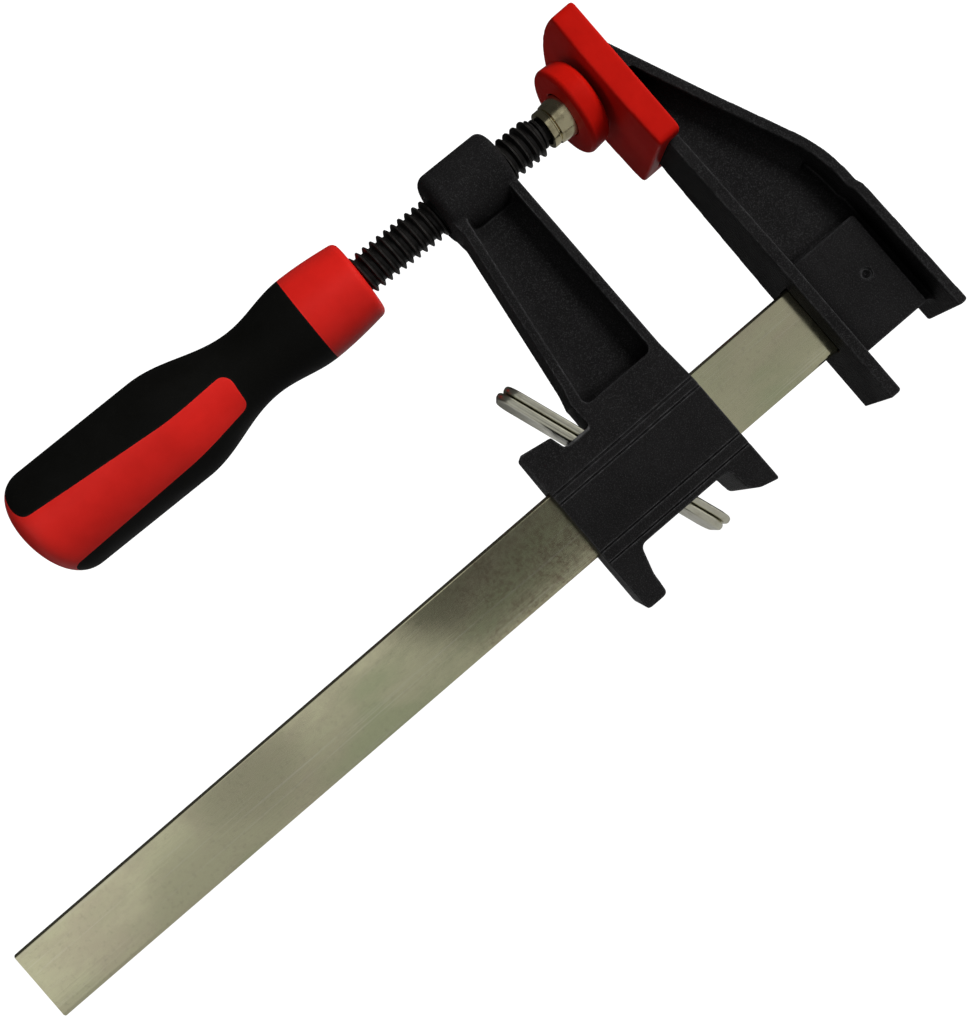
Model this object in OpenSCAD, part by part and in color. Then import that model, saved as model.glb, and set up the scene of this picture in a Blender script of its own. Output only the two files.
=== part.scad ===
// Ratchet bar clamp, in millimetres.
// X = 0 is the clamping face of the fixed jaw's casting, and +X runs to the back of the jaw.
// Z = 0 is the bench under the feet, and Y = 0 is the clamp's mid-plane.

/* [Bar] */
// Free length of the bar, from the jaw's face to its cut end
bar_reach = 280.5; // [220:0.5:600]
// Height of the bar's section
bar_h = 22; // [20:0.5:23]
// Thickness of the bar
bar_t = 6; // [5:0.5:6.5]
// Radius of the bar's four long edges
bar_edge_r = 1; // [0.5:0.1:1.5]
// Length of the bar inside the jaw's seat
bar_seat_length = 23.5; // [22:0.5:24]
// Height of the bar's centre above the bench
bar_z = 29.5; // [28:0.5:31]

/* [Fixed jaw] */
// Thickness of the flange that carries the clamping face
jaw_inner_flange_t = 3.4; // [3:0.1:4.5]
// Thickness of the outer flange
jaw_outer_flange_t = 2.8; // [2.4:0.1:3.4]
// Thickness of the web in both castings
web_t = 3.5; // [2.5:0.5:5]
// Half the depth of the jaw casting at its foot
jaw_half_depth = 9.4; // [8.5:0.1:10.5]
// Half the depth of the jaw casting at its tip
jaw_tip_half_depth = 7.6; // [7:0.1:8.4]
// Height of the casting's tip above the bench
jaw_top = 130; // [129:0.5:131]
// Depth of the bar seat, from its front face to its back face
seat_depth = 10.4; // [9.6:0.2:12]
// End of the bar seat, from the jaw's face
seat_end = 26.3; // [26:0.1:27]
// Radius of the pin that holds the jaw on the bar
pin_r = 1.5; // [1:0.1:2.5]
// Distance of the pin from the jaw's face
pin_x = 18.6; // [15:0.1:20]
// How far the pin's ends lie below the seat's faces
pin_sunk = 0.5; // [0.3:0.1:1]

/* [Jaw cap] */
// Thickness of plastic in front of the jaw's face, at the cap's edges
cap_front_t = 4.6; // [3:0.1:4.8]
// How far the cap's face bulges at its middle
cap_face_crown = 0.6; // [0.4:0.1:0.8]
// Width of the cap across the clamp
cap_width = 28.4; // [26.6:0.2:32]
// Height of the cap's sides
cap_height = 44; // [43:0.5:48]
// How far the cap's sides stand above the casting's tip
cap_above = 5; // [4.5:0.5:8]
// Rise of the cap's arched top edge
cap_arch = 2.8; // [1:0.1:4]
// Width of the casting's pad inside the cap
pad_width = 21.6; // [20:0.1:22]
// Thickness of the casting's pad inside the cap
pad_t = 2; // [1.6:0.1:2.2]

/* [Sliding arm] */
// Left face of the arm's base
base_left = -86.7; // [-92:0.1:-84]
// Right face of the arm's base and column
base_right = -37.3; // [-38:0.1:-36]
// Half the depth of the arm's base
base_half_depth = 11.5; // [11:0.1:13]
// Half the depth of the arm's column
column_half_depth = 8.2; // [7.5:0.1:9]
// Thickness of the column's flanges
column_flange_t = 2.8; // [2.4:0.1:3.4]
// Radius of the fillets between web and flanges
fillet_r = 4; // [2:0.5:4.5]
// Depth of the lines along the base
line_depth = 0.4; // [0.2:0.1:0.6]

/* [Clutch] */
// Tilt of the clutch plates when they grip the bar
clutch_tilt = 18.7; // [18.5:0.1:18.9]
// Place where the middle of the two plates crosses the bar's centre
clutch_x = -64.3; // [-64.5:0.1:-64.1]
// Thickness of one clutch plate
plate_t = 2.2; // [2:0.1:2.3]
// Gap between the two clutch plates
plate_gap = 0.3; // [0.2:0.05:0.4]
// Width of the clutch plates across the clamp
plate_width = 18; // [14:0.5:18]
// Length of a clutch plate above the bar's centre
plate_up = 43; // [38:0.5:46]
// Length of a clutch plate below the bar's centre
plate_down = 28.2; // [24:0.1:28.5]
// Play of a plate's slot along the plate, which sets the tilt that grips
slot_play = 2.1; // [2.05:0.05:2.6]
// Wire thickness of the clutch spring
spring_wire = 0.45; // [0.4:0.05:0.5]
// Outer diameter of the clutch spring
spring_d = 3; // [2.6:0.1:3]

/* [Spindle] */
// Fall of the screw's axis towards the jaw, in degrees
screw_cant = 2; // [1.5:0.1:2.4]
// Height of the screw's axis above the bar's centre, at the middle of the boss
screw_rise = 89.4; // [89:0.1:90]
// Outer diameter of the thread
thread_d = 11.85; // [11.4:0.05:12.2]
// Distance between neighbouring turns of the thread
thread_pitch = 2.5; // [2:0.25:3]
// Depth of the thread
thread_depth = 1.25; // [0.9:0.05:1.3]
// Diameter of the plain neck behind the swivel foot
neck_d = 8.8; // [8:0.1:9]
// Diameter of the boss at the top of the arm
boss_d = 21.6; // [20:0.2:23]

/* [Swivel foot] */
// Middle of the ball
ball_x = -14.2; // [-14.4:0.1:-14]
// Radius of the ball
ball_r = 4.7; // [4.6:0.05:4.8]
// Diameter of the round cap
swivel_cap_d = 26.2; // [24:0.2:26.8]

/* [Handle] */
// Front of the handle's collar
handle_front = -86.2; // [-88:0.1:-84]
// Length of the handle
handle_length = 116; // [105:1:125]
// Length of the red collar
collar_length = 18.9; // [15:0.1:22]
// Radius of the collar at its front edge
collar_front_r = 11.6; // [10.5:0.1:12]
// Radius of the handle where the collar meets the grip
collar_r = 13.1; // [12:0.1:14]
// Radius of the handle's waist
waist_r = 10.7; // [10:0.1:12]
// Radius of the handle's belly
belly_r = 16.5; // [15:0.1:18]
// Thickness of the black moulding
grip_t = 2; // [1.5:0.1:2.5]
// Width of the red strips at their front end
strip_front_width = 10.8; // [9:0.2:13]
// Width of the red strips at the butt
strip_rear_width = 18.3; // [16:0.1:20]
// Turn of the first red strip from the camera's side towards the bar, in degrees
strip_turn = 37; // [0:1:60]

/* [Hidden] */
$fn = 64;

slide_clearance = 0.25;
press_clearance = 0.02;
running_clearance = 0.05;
cap_clearance = 0.1;
through = 60;
corner_steps = 6;
bulge_steps = 12;
black = [0.07, 0.07, 0.08];
red = [0.80, 0.07, 0.06];
steel = [0.72, 0.71, 0.66];

web_face = web_t / 2;
bar_slot_h = bar_h + 2 * slide_clearance;
bar_slot_t = bar_t + 2 * slide_clearance;
seat_bottom = bar_z - 16.3;
seat_top = bar_z + 14.8;

jaw_slope_run = 0.4286;
jaw_slope_x = 24.8;
jaw_slope_z = bar_z + 47.5;
jaw_bend_r = 45;
jaw_back = 31;
jaw_step = 0.8;
jaw_step_z = bar_z + 20.5;
jaw_step_slope = 1;
jaw_step_r = 0.5;
jaw_tip_r = 1;
jaw_foot_back = 32.8;
foot_draft = 0.2;
foot_notch_r = 2.5;
seat_edge_r = 0.8;
jaw_fillet_start = 3;
jaw_fillet_end = 14;
outer_foot_z = bar_z - 22.6;
outer_slope_t = jaw_outer_flange_t * norm([1, jaw_slope_run]);
cap_top = jaw_top + cap_above;
cap_bottom = cap_top - cap_height;
cap_grip = 0.6;
cap_corner_r = 2;
cap_lip = 0.8;
pad_low_margin = 3;
pad_high_margin = 3.4;
pad_corner_r = 2;
pad_bottom = cap_bottom + pad_low_margin;
pad_top = cap_top - pad_high_margin;
cap_cheek_gap = 0.2;

base_bottom = bar_z - 15.3;
base_edge_z = bar_z + 9.9;
base_top = bar_z + 24.1;
strong_lines = [9.9, -9.8];
fine_lines = [7, -13.3];
strong_line_w = 0.6;
fine_line_w = 0.4;
notch_z = bar_z + 18.1;
notch_left = -75.2;
notch_right = -66.3;
shoulder_x = -76.2;
shoulder_z = bar_z + 22.3;
left_foot_x = -79.8;
left_foot_bend = [-79.2, bar_z - 23];
left_foot_root_x = -76.9;
right_foot_root_x = -46.3;
right_foot_bend = [-45.3, bar_z - 22.7];
right_foot_low = [-42.6, bar_z - 24.4];
right_foot_tip_z = bar_z - 25.8;
web_floor_z = bar_z + 22.5;
web_floor_r = 2;
column_foot_x = -65.2;
column_foot_z = bar_z + 30;
column_top_x = -58.1;
column_top_z = bar_z + 78.5;
column_left_t = column_flange_t * norm([1, (column_top_x - column_foot_x) / (column_top_z - column_foot_z)]);

boss_x = -47.7;
boss_z = bar_z + screw_rise;
boss_left = -59;
boss_right = -36.4;
boss_bore_r = thread_d / 2 + running_clearance;

plate_slope = tan(clutch_tilt);
plate_offset = (plate_t + plate_gap) / 2;
stack_half = (plate_t + plate_gap / 2) / cos(clutch_tilt);
slot_h = bar_h + slot_play;
fulcrum_z = bar_z + 14.5;
release_lean = 3.6;
pocket_play = 0.3;
plate_corner_r = 4.5;
spring_r = (spring_d - spring_wire) / 2;
spring_z = bar_z - bar_h / 2 - slide_clearance - spring_d / 2 - 0.1;
spring_turns = 10;
spring_steps = 12;
wire_sides = 6;
spring_left = -79.8;
spring_right = clutch_x + (bar_z - spring_z) * plate_slope - stack_half - 0.1;

core_r = thread_d / 2 - thread_depth;
thread_sides = 16;
thread_root_share = 0.8;
thread_crest_share = 0.34;
thread_start = -85.9;
thread_end = -24;
neck_end = -22.3;
groove_r = core_r - 0.8;
groove_w = 0.5;
edge_cut = 0.3;
shank_r = 3;
shank_sunk = 0.3;
tenon_r = 2.5;
tenon_sunk = 2;
ball_play = 0.25;
tang_r = 4.9;
tang_length = 42;

ball_z = boss_z - (ball_x - boss_x) * tan(screw_cant);
foot_back = -7.1;
foot_opening_r = 4.3;
foot_disc_r = 9.5;
foot_disc_back = 1.4;
foot_disc_front = 5.4;
foot_rim_r = 5.5;
foot_groove = foot_back + 2;
foot_groove_w = 0.3;
foot_groove_r = 5.1;
foot_neck_r = 6.5;
cap_back = -0.1;
cap_face = 7.2;
cap_back_r = 1.4;
cap_face_r = 2.6;
cap_taper = 0.6;

waist_s = 38.1;
belly_s = 68;
butt_s = handle_length - 10;
grip_end = handle_length - 5;
strip_start = 45;
strip_slant = 1.6;
strip_low_front = 4.4;
strip_low_rear = 7.4;
strip_corner_r = 3;
collar_edge_r = 2;
panel_corner_r = 4;

// Geometry shared by the pieces

function unit(v) = v / norm(v);

// An outline's corner at p, between its neighbours a and b, as an arc of p's own radius.
function arc_corner(p, a, b) =
    let (corner = [p.x, p.y],
         u = unit([a.x, a.y] - corner),
         w = unit([b.x, b.y] - corner),
         half = acos(u * w) / 2,
         centre = corner + unit(u + w) * p[2] / sin(half),
         start = corner + u * p[2] / tan(half) - centre,
         stop = corner + w * p[2] / tan(half) - centre,
         from = atan2(start.y, start.x),
         turn = (atan2(stop.y, stop.x) - from + 900) % 360 - 180)
    [for (k = [0:corner_steps])
        let (angle = from + turn * k / corner_steps)
        centre + p[2] * [cos(angle), sin(angle)]];

// A list of [across, up, radius] corners as a list of points, with each corner rounded.
function rounded(corners) =
    let (n = len(corners))
    [for (i = [0:n - 1])
        each corners[i][2] > 0
            ? arc_corner(corners[i], corners[(i + n - 1) % n], corners[(i + 1) % n])
            : [[corners[i].x, corners[i].y]]];

// Points on an arc that runs from low to high at x = base and bulges towards -x by crown.
function bulge(low, high, base, crown) =
    let (half = abs(high - low) / 2,
         r = (half * half + crown * crown) / (2 * crown),
         spread = asin(half / r),
         way = sign(high - low))
    [for (k = [0:bulge_steps])
        let (angle = spread * (2 * k / bulge_steps - 1))
        [base - crown + r * (1 - cos(angle)), (low + high) / 2 + way * r * sin(angle)]];

function rounded_box(left, right, low, high, r) =
    rounded([[left, low, r], [right, low, r], [right, high, r], [left, high, r]]);

// Extrudes an (x, z) outline across the clamp, centred on the mid-plane.
module across(depth)
    rotate([90, 0, 0])
        linear_extrude(height = depth, center = true)
            children();

// Extrudes a (y, z) outline along +X, from x = 0.
module along_x(length)
    rotate([90, 0, 90])
        linear_extrude(height = length)
            children();

// Keeps the front and back of a casting inside a list of [half depth, z] corners.
module within_depth(corners)
    translate([-through * 3, 0, 0])
        along_x(through * 4)
            polygon(concat(corners, [for (i = [len(corners) - 1:-1:0]) [-corners[i].x, corners[i].y]]));

// The two recesses beside the web, from an (x, z) outline.
module recesses(outline)
    for (side = [-1, 1])
        translate([0, side * (web_face + through / 2), 0])
            across(through) polygon(outline);

// A concave fillet strip in the corner of +x and +y, along +z.
module fillet_strip(length)
    linear_extrude(height = length)
        polygon(concat([[0, 0]],
                       [for (k = [0:corner_steps])
                           let (angle = 180 + 90 * k / corner_steps)
                           fillet_r * [1 + cos(angle), 1 + sin(angle)]]));

// Fillets on both faces of the web, from low to high in (x, z), filling towards +x or -x.
module web_fillets(low, high, towards)
    let (run = high - low)
    for (side = [-1, 1])
        translate([low.x, side * (web_face - 0.01), low.y])
            rotate([0, atan2(run.x, run.y), 0])
                scale([towards, side, 1])
                    translate([-0.01, 0, 0]) fillet_strip(norm(run));

// Puts its children on the screw's axis: local z = 0 is the middle of the boss, +z to the jaw.
module on_screw_axis(x = boss_x)
    translate([boss_x, 0, boss_z])
        rotate([0, 90 + screw_cant, 0])
            translate([0, 0, screw_t(x)])
                children();

function screw_t(x) = (x - boss_x) / cos(screw_cant);

// Puts its children on the foot's own axis: local z = 0 is the ball's centre, +z to the jaw.
module on_foot_axis()
    translate([ball_x, 0, ball_z])
        rotate([0, 90, 0])
            children();

// A closed solid through rings of points that all have the same number of points.
module skin(rings)
    let (n = len(rings[0]), last = len(rings) - 1)
    polyhedron(
        points = [for (ring = rings) each ring],
        faces = concat(
            [[for (j = [n - 1:-1:0]) j]],
            [for (i = [0:last - 1]) for (j = [0:n - 1]) for (half = [0, 1])
                let (a = i * n + j, b = i * n + (j + 1) % n)
                half == 0 ? [a, b, b + n] : [a, b + n, a + n]],
            [[for (j = [0:n - 1]) last * n + j]]));

// Bar

module bar()
    color(steel)
    difference() {
        translate([-bar_reach, 0, bar_z])
            along_x(bar_reach + bar_seat_length)
                polygon(rounded_box(-bar_t / 2, bar_t / 2, -bar_h / 2, bar_h / 2, bar_edge_r));
        pin_hole(pin_r + press_clearance);
    }

module pin_hole(r)
    translate([pin_x, 0, bar_z])
        rotate([90, 0, 0])
            cylinder(r = r, h = through, center = true);

module jaw_pin()
    color(black)
    translate([pin_x, 0, bar_z])
        rotate([90, 0, 0])
            cylinder(r = pin_r, h = seat_depth - 2 * pin_sunk, center = true);

// Fixed jaw

// Height at which the jaw's sloping back, moved in by an inset, stands at x.
function jaw_slope_height(x, inset) = jaw_slope_z + (jaw_slope_x - inset - x) / jaw_slope_run;

module fixed_jaw()
    color(black)
    difference() {
        union() {
            intersection() {
                jaw_body();
                within_depth([[jaw_half_depth, -1], [jaw_half_depth, bar_z + 15],
                              [jaw_tip_half_depth, pad_bottom], [jaw_tip_half_depth, jaw_top + 1]]);
            }
            seat_block();
            along_x(pad_t)
                polygon(rounded_box(-pad_width / 2, pad_width / 2, pad_bottom, pad_top, pad_corner_r));
        }
        translate([-1, 0, bar_z])
            along_x(bar_seat_length + 1 + slide_clearance)
                square([bar_slot_t, bar_slot_h], center = true);
        pin_hole(pin_r + press_clearance);
    }

module jaw_body() {
    inner = jaw_inner_flange_t;
    bend_z = jaw_slope_height(jaw_back, 0);
    inside_back = jaw_back - jaw_outer_flange_t;
    inside_bend_z = jaw_slope_height(inside_back, outer_slope_t);
    difference() {
        across(2 * jaw_half_depth)
            polygon(rounded([
                [0, 0, 0], [0, jaw_top, jaw_tip_r], [inner, jaw_top, jaw_tip_r],
                [inner, jaw_slope_height(inner, 0), 3], [jaw_back, bend_z, jaw_bend_r],
                [jaw_back, jaw_step_z + jaw_step_slope, jaw_step_r],
                [jaw_back + jaw_step, jaw_step_z - jaw_step_slope, jaw_step_r],
                [jaw_foot_back, outer_foot_z, seat_edge_r],
                [jaw_foot_back - jaw_outer_flange_t, outer_foot_z, jaw_step_r],
                [jaw_foot_back - jaw_outer_flange_t - foot_draft, seat_bottom, foot_notch_r],
                [inner, seat_bottom, foot_notch_r], [inner, 0, seat_edge_r]]));
        recesses(rounded([
            [inner, -1, 0], [inner, jaw_slope_height(inner, outer_slope_t), 1.5],
            [inside_back, inside_bend_z, jaw_bend_r],
            [inside_back, jaw_step_z + jaw_step_slope, jaw_step_r],
            [inside_back + jaw_step, jaw_step_z - jaw_step_slope, jaw_step_r],
            [jaw_foot_back - jaw_outer_flange_t, outer_foot_z - 1, 0]]));
    }
    web_fillets([inner, seat_bottom + jaw_fillet_start],
                [inner, jaw_slope_height(inner, outer_slope_t) - jaw_fillet_end], 1);
    web_fillets([inside_back - 1, jaw_slope_height(inside_back - 1, outer_slope_t)],
                [inner + 5, jaw_slope_height(inner + 5, outer_slope_t)], -1);
}

module seat_block()
    across(seat_depth)
        polygon(rounded_box(jaw_inner_flange_t - 1, seat_end, seat_bottom, seat_top, seat_edge_r));

// Jaw cap

module jaw_cap()
    color(red)
    difference() {
        intersection() {
            translate([-through, 0, 0])
                along_x(through + pad_t + cap_grip)
                    polygon(cap_outline());
            across(2 * cap_width)
                polygon(concat(bulge(cap_bottom, cap_top + cap_arch, -cap_front_t, cap_face_crown),
                               [[through, cap_top + cap_arch], [through, cap_bottom]]));
        }
        pad_room(-cap_clearance / 2, pad_t + cap_clearance, pad_width / 2 + cap_clearance, cap_clearance);
        pad_room(0, pad_t + 1, pad_width / 2 - cap_lip, -cap_lip);
        translate([-cap_clearance / 2, 0, 0])
            along_x(through)
                polygon([[-jaw_half_depth, cap_bottom - 1], [jaw_half_depth, cap_bottom - 1],
                         [jaw_tip_half_depth + cap_clearance + cap_cheek_gap, pad_bottom + 1],
                         [-jaw_tip_half_depth - cap_clearance - cap_cheek_gap, pad_bottom + 1]]);
    }

// The cap as (y, z) points: a rounded box with an arched top edge.
function cap_outline() =
    let (half = cap_width / 2, arch = bulge(half, -half, -cap_top, cap_arch))
    rounded(concat([[-half, cap_bottom, cap_corner_r], [half, cap_bottom, cap_corner_r],
                    [half, cap_top, cap_corner_r]],
                   [for (k = [1:len(arch) - 2]) [arch[k].y, -arch[k].x, 0]],
                   [[-half, cap_top, cap_corner_r]]));

// The room in the cap for the casting's pad, grown all round by a margin.
module pad_room(back, front, half_width, margin)
    translate([back, 0, 0])
        along_x(front - back)
            polygon(rounded_box(-half_width, half_width, pad_bottom - margin, pad_top + margin,
                                pad_corner_r));

// Sliding arm

module sliding_arm()
    color(black)
    difference() {
        union() {
            intersection() {
                arm_body();
                within_depth([[base_half_depth, -1], [base_half_depth, base_edge_z],
                              [column_half_depth, web_floor_z], [column_half_depth - 0.4, boss_z]]);
            }
            on_screw_axis()
                boss();
        }
        translate([0, 0, bar_z])
            cube([through * 4, bar_slot_t, bar_slot_h], center = true);
        plate_pocket();
        spring_groove();
        base_lines();
        on_screw_axis()
            cylinder(r = boss_bore_r, h = through, center = true);
    }

module arm_body() {
    bottom_x = base_right - column_flange_t;
    left_x = column_foot_x + column_left_t;
    lean = (column_top_x - column_foot_x) / (column_top_z - column_foot_z);
    floor_x = left_x + (web_floor_z - column_foot_z) * lean;
    top_x = left_x + (boss_z - column_foot_z) * lean;
    difference() {
        across(2 * base_half_depth)
            polygon(rounded([
                [base_left, 0, 1], [base_left + 0.3, base_top, 1], [shoulder_x, shoulder_z, 0.6],
                [notch_left, notch_z, 0.8], [notch_right, notch_z, 0.8],
                [notch_right - 0.4, base_top + 0.4, 0.8],
                [column_foot_x, column_foot_z, 2], [column_top_x, column_top_z, 3],
                [boss_left + 0.5, column_top_z + 5, 0.5], [boss_left + 0.5, boss_z, 0],
                [base_right, boss_z, 0], [base_right, right_foot_tip_z, 0.6],
                concat(right_foot_low, 3), concat(right_foot_bend, 2),
                [right_foot_root_x, base_bottom, 2.5], [left_foot_root_x, base_bottom, 2],
                concat(left_foot_bend, 5), [left_foot_x, 0, 1.5]]));
        recesses(rounded([
            [floor_x, web_floor_z, web_floor_r], [bottom_x, web_floor_z, web_floor_r],
            [bottom_x, boss_z, 0], [top_x, boss_z, 0]]));
    }
    web_fillets([bottom_x, web_floor_z], [bottom_x, boss_z], -1);
    web_fillets([floor_x, web_floor_z], [top_x, boss_z], 1);
}

module boss() {
    left = screw_t(boss_left);
    right = screw_t(boss_right);
    rotate_extrude()
        polygon(rounded([[0, left, 0], [boss_d / 2, left, 3], [boss_d / 2, right, 2], [0, right, 0]]));
}

// The slanted shaft through the base that the clutch plates stand in, with room to be released.
module plate_pocket() {
    low_z = base_bottom - 2;
    right_low = plate_right_face(low_z) + pocket_play;
    left_low = plate_left_face(low_z) - pocket_play - release_lean;
    left_high = plate_left_face(fulcrum_z) - pocket_play;
    across(plate_width + 2 * pocket_play)
        polygon([[left_low, low_z], [right_low, low_z],
                 [plate_right_face(fulcrum_z) + pocket_play / 2, fulcrum_z],
                 [notch_right, notch_z], [notch_right, base_top + 1],
                 [notch_left - 0.2, base_top + 1], [notch_left, notch_z], [left_high, fulcrum_z]]);
}

function plate_right_face(z) = clutch_x - (z - bar_z) * plate_slope + stack_half;
function plate_left_face(z) = clutch_x - (z - bar_z) * plate_slope - stack_half;

// The groove under the bar that the clutch spring lies in.
module spring_groove() {
    width = spring_d + 2 * slide_clearance;
    low_z = spring_z - width / 2;
    translate([spring_left, -width / 2, low_z])
        cube([spring_right - spring_left, width, bar_z - low_z]);
}

// The lines along the front and back of the base.
module base_lines()
    for (side = [-1, 1]) {
        for (rise = strong_lines)
            base_line(side, rise, strong_line_w, line_depth);
        for (rise = fine_lines)
            base_line(side, rise, fine_line_w, line_depth * fine_line_w / strong_line_w);
    }

module base_line(side, rise, width, depth)
    translate([(base_left + base_right) / 2, side * base_half_depth, bar_z + rise])
        cube([through, 2 * depth, width], center = true);

// Clutch

module clutch_plate(offset)
    translate([clutch_x, 0, bar_z])
        rotate([0, -clutch_tilt, 0])
            translate([offset - plate_t / 2, 0, -offset * plate_slope])
                along_x(plate_t)
                    difference() {
                        polygon(rounded_box(-plate_width / 2, plate_width / 2, -plate_down, plate_up,
                                            plate_corner_r));
                        square([bar_slot_t, slot_h], center = true);
                    }

module clutch_plate_left()
    color(steel) clutch_plate(-plate_offset);

module clutch_plate_right()
    color(steel) clutch_plate(plate_offset);

// A coil wound round the +x axis, whose wire starts at x = 0 and ends at x = length.
module coil(length, radius, wire, turns, steps, sides) {
    rise = (length - wire) / turns;
    skin([for (i = [0:turns * steps])
        let (angle = 360 * i / steps, x = wire / 2 + rise * i / steps)
        [for (j = [0:sides - 1])
            let (a = 360 * j / sides, r = radius + wire / 2 * cos(a))
            [x + wire / 2 * sin(a), r * cos(angle), r * sin(angle)]]]);
    echo(least_gap_between_turns = rise - wire);
}

module clutch_spring()
    color(steel)
    translate([spring_left + 0.1, 0, spring_z])
        coil(spring_right - spring_left - 0.2, spring_r, spring_wire, spring_turns, spring_steps, wire_sides);

// Spindle

module spindle()
    color(black) {
        on_screw_axis(handle_front)
            translate([0, 0, -tang_length])
                cylinder(r = tang_r, h = tang_length + screw_t(thread_start) - screw_t(handle_front));
        on_screw_axis(thread_start)
            cylinder(r = core_r, h = screw_t(thread_end) - screw_t(thread_start));
        on_screw_axis(thread_start)
            thread_ridge(screw_t(thread_end) - screw_t(thread_start));
        on_screw_axis(thread_end)
            spindle_neck();
    }

// The turned end of the screw: a groove, the neck, the shank and the ball's tenon.
module spindle_neck() {
    neck_len = screw_t(neck_end) - screw_t(thread_end);
    ball_t = screw_t(ball_x) - screw_t(thread_end);
    rotate_extrude()
        polygon([[0, 0], [groove_r, 0], [groove_r, groove_w], [neck_d / 2, groove_w + edge_cut],
                 [neck_d / 2, neck_len - edge_cut], [neck_d / 2 - edge_cut, neck_len], [shank_r, neck_len],
                 [shank_r, ball_t - ball_r + shank_sunk], [tenon_r, ball_t - ball_r + shank_sunk],
                 [tenon_r, ball_t + tenon_sunk], [0, ball_t + tenon_sunk]]);
}

// The thread's ridge, a solid of its own that stands just clear of the core.
module thread_ridge(length) {
    root_r = core_r / cos(180 / thread_sides) + 0.01;
    root_half = thread_pitch * thread_root_share / 2;
    crest_half = thread_pitch * thread_crest_share / 2;
    turns = floor((length - 2 * root_half) / thread_pitch * thread_sides) / thread_sides;
    skin([for (i = [0:turns * thread_sides])
        let (angle = 360 * i / thread_sides, z = root_half + thread_pitch * i / thread_sides)
        [for (p = [[root_r, -root_half], [thread_d / 2, -crest_half],
                   [thread_d / 2, crest_half], [root_r, root_half]])
            [p.x * cos(angle), p.x * sin(angle), z + p.y]]]);
}

module spindle_ball()
    color(steel)
    translate([ball_x, 0, ball_z])
        rotate([0, 90 + screw_cant, 0])
            difference() {
                sphere(r = ball_r);
                translate([0, 0, -2 * ball_r])
                    cylinder(r = tenon_r + running_clearance, h = 2 * ball_r + tenon_sunk + ball_play);
                translate([0, 0, -2 * ball_r])
                    cylinder(r = ball_r, h = ball_r + shank_sunk + ball_play);
            }

// Swivel foot

module swivel_foot()
    color(steel)
    on_foot_axis()
        difference() {
            rotate_extrude()
                polygon([[0, foot_back], [foot_rim_r - edge_cut, foot_back],
                         [foot_rim_r, foot_back + edge_cut],
                         [foot_rim_r, foot_groove - edge_cut], [foot_groove_r, foot_groove],
                         [foot_groove_r, foot_groove + foot_groove_w],
                         [foot_rim_r + edge_cut, foot_groove + foot_groove_w + edge_cut],
                         [foot_neck_r, foot_disc_back], [foot_disc_r, foot_disc_back],
                         [foot_disc_r, foot_disc_front], [0, foot_disc_front]]);
            sphere(r = ball_r + running_clearance);
            translate([0, 0, foot_back - 1])
                cylinder(r = foot_opening_r, h = -foot_back + 1);
        }

module swivel_cap()
    color(red)
    on_foot_axis()
        difference() {
            rotate_extrude()
                polygon(rounded([[0, cap_back, 0], [swivel_cap_d / 2, cap_back, cap_back_r],
                                 [swivel_cap_d / 2 - cap_taper, cap_face, cap_face_r], [0, cap_face, 0]]));
            translate([0, 0, foot_disc_back - cap_clearance])
                cylinder(r = foot_disc_r + cap_clearance,
                         h = foot_disc_front - foot_disc_back + 2 * cap_clearance);
            translate([0, 0, cap_back - 1])
                cylinder(r = foot_neck_r + cap_clearance, h = foot_disc_back - cap_back + 1);
        }

// Handle, where s runs from the collar's front to the butt

function ease(from, to, share) = from + (to - from) * (1 - cos(180 * share)) / 2;

function handle_r(s) =
    s <= collar_length ? collar_front_r + (collar_r - collar_front_r) * sin(90 * s / collar_length) :
    s <= waist_s ? ease(collar_r, waist_r, (s - collar_length) / (waist_s - collar_length)) :
    s <= belly_s ? ease(waist_r, belly_r, (s - waist_s) / (belly_s - waist_s)) :
    s <= butt_s ? belly_r :
    belly_r * pow(1 - pow((s - butt_s) / (handle_length - butt_s), 2.5), 0.4);

// The stations where the handle's outline has a point.
handle_stations = concat([for (k = [0:4]) collar_length * k / 4],
                         [for (k = [1:7]) collar_length + (waist_s - collar_length) * k / 7],
                         [for (k = [1:9]) waist_s + (belly_s - waist_s) * k / 9],
                         [for (k = [0:7]) butt_s + (handle_length - butt_s) * sin(90 * k / 8)]);

module handle_body()
    rotate_extrude()
        polygon(rounded(concat([[0, 0, 0], [collar_front_r, 0, collar_edge_r]],
                               [for (s = handle_stations) if (s > collar_edge_r) [handle_r(s), -s, 0]],
                               [[0, -handle_length, 0]])));

// The room that the black moulding fills: a shell around the core, with a window at each strip.
module grip_room()
    difference() {
        rotate_extrude()
            polygon(concat([[30, -collar_length], [handle_r(collar_length) - grip_t, -collar_length]],
                           [for (s = handle_stations) if (s > collar_length && s < grip_end)
                               [handle_r(s) - grip_t, -s]],
                           [[handle_r(grip_end) - grip_t, -grip_end], [30, -grip_end]]));
        for (turn = [0, 180])
            rotate([0, 0, strip_turn - 90 + turn])
                strip_window();
    }

// A strip's outline as (s, across) points. Its front end is slanted, and it flares to the rear,
// where the black ends in round corners.
module strip_window()
    rotate([0, 90, 0])
        linear_extrude(height = through)
            polygon(rounded([
                [strip_start - strip_slant / 2, strip_low_front - strip_front_width, strip_corner_r],
                [grip_end, strip_low_rear - strip_rear_width, panel_corner_r],
                [grip_end, -through, 0], [handle_length + 1, -through, 0],
                [handle_length + 1, through, 0], [grip_end, through, 0],
                [grip_end, strip_low_rear, panel_corner_r],
                [strip_start + strip_slant / 2, strip_low_front, strip_corner_r]]));

module handle_core()
    color(red)
    on_screw_axis(handle_front)
        difference() {
            handle_body();
            grip_room();
            translate([0, 0, -tang_length - 1])
                cylinder(r = tang_r + press_clearance, h = tang_length + 2);
        }

module handle_grip()
    color(black)
    on_screw_axis(handle_front)
        intersection() {
            handle_body();
            grip_room();
        }

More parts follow.
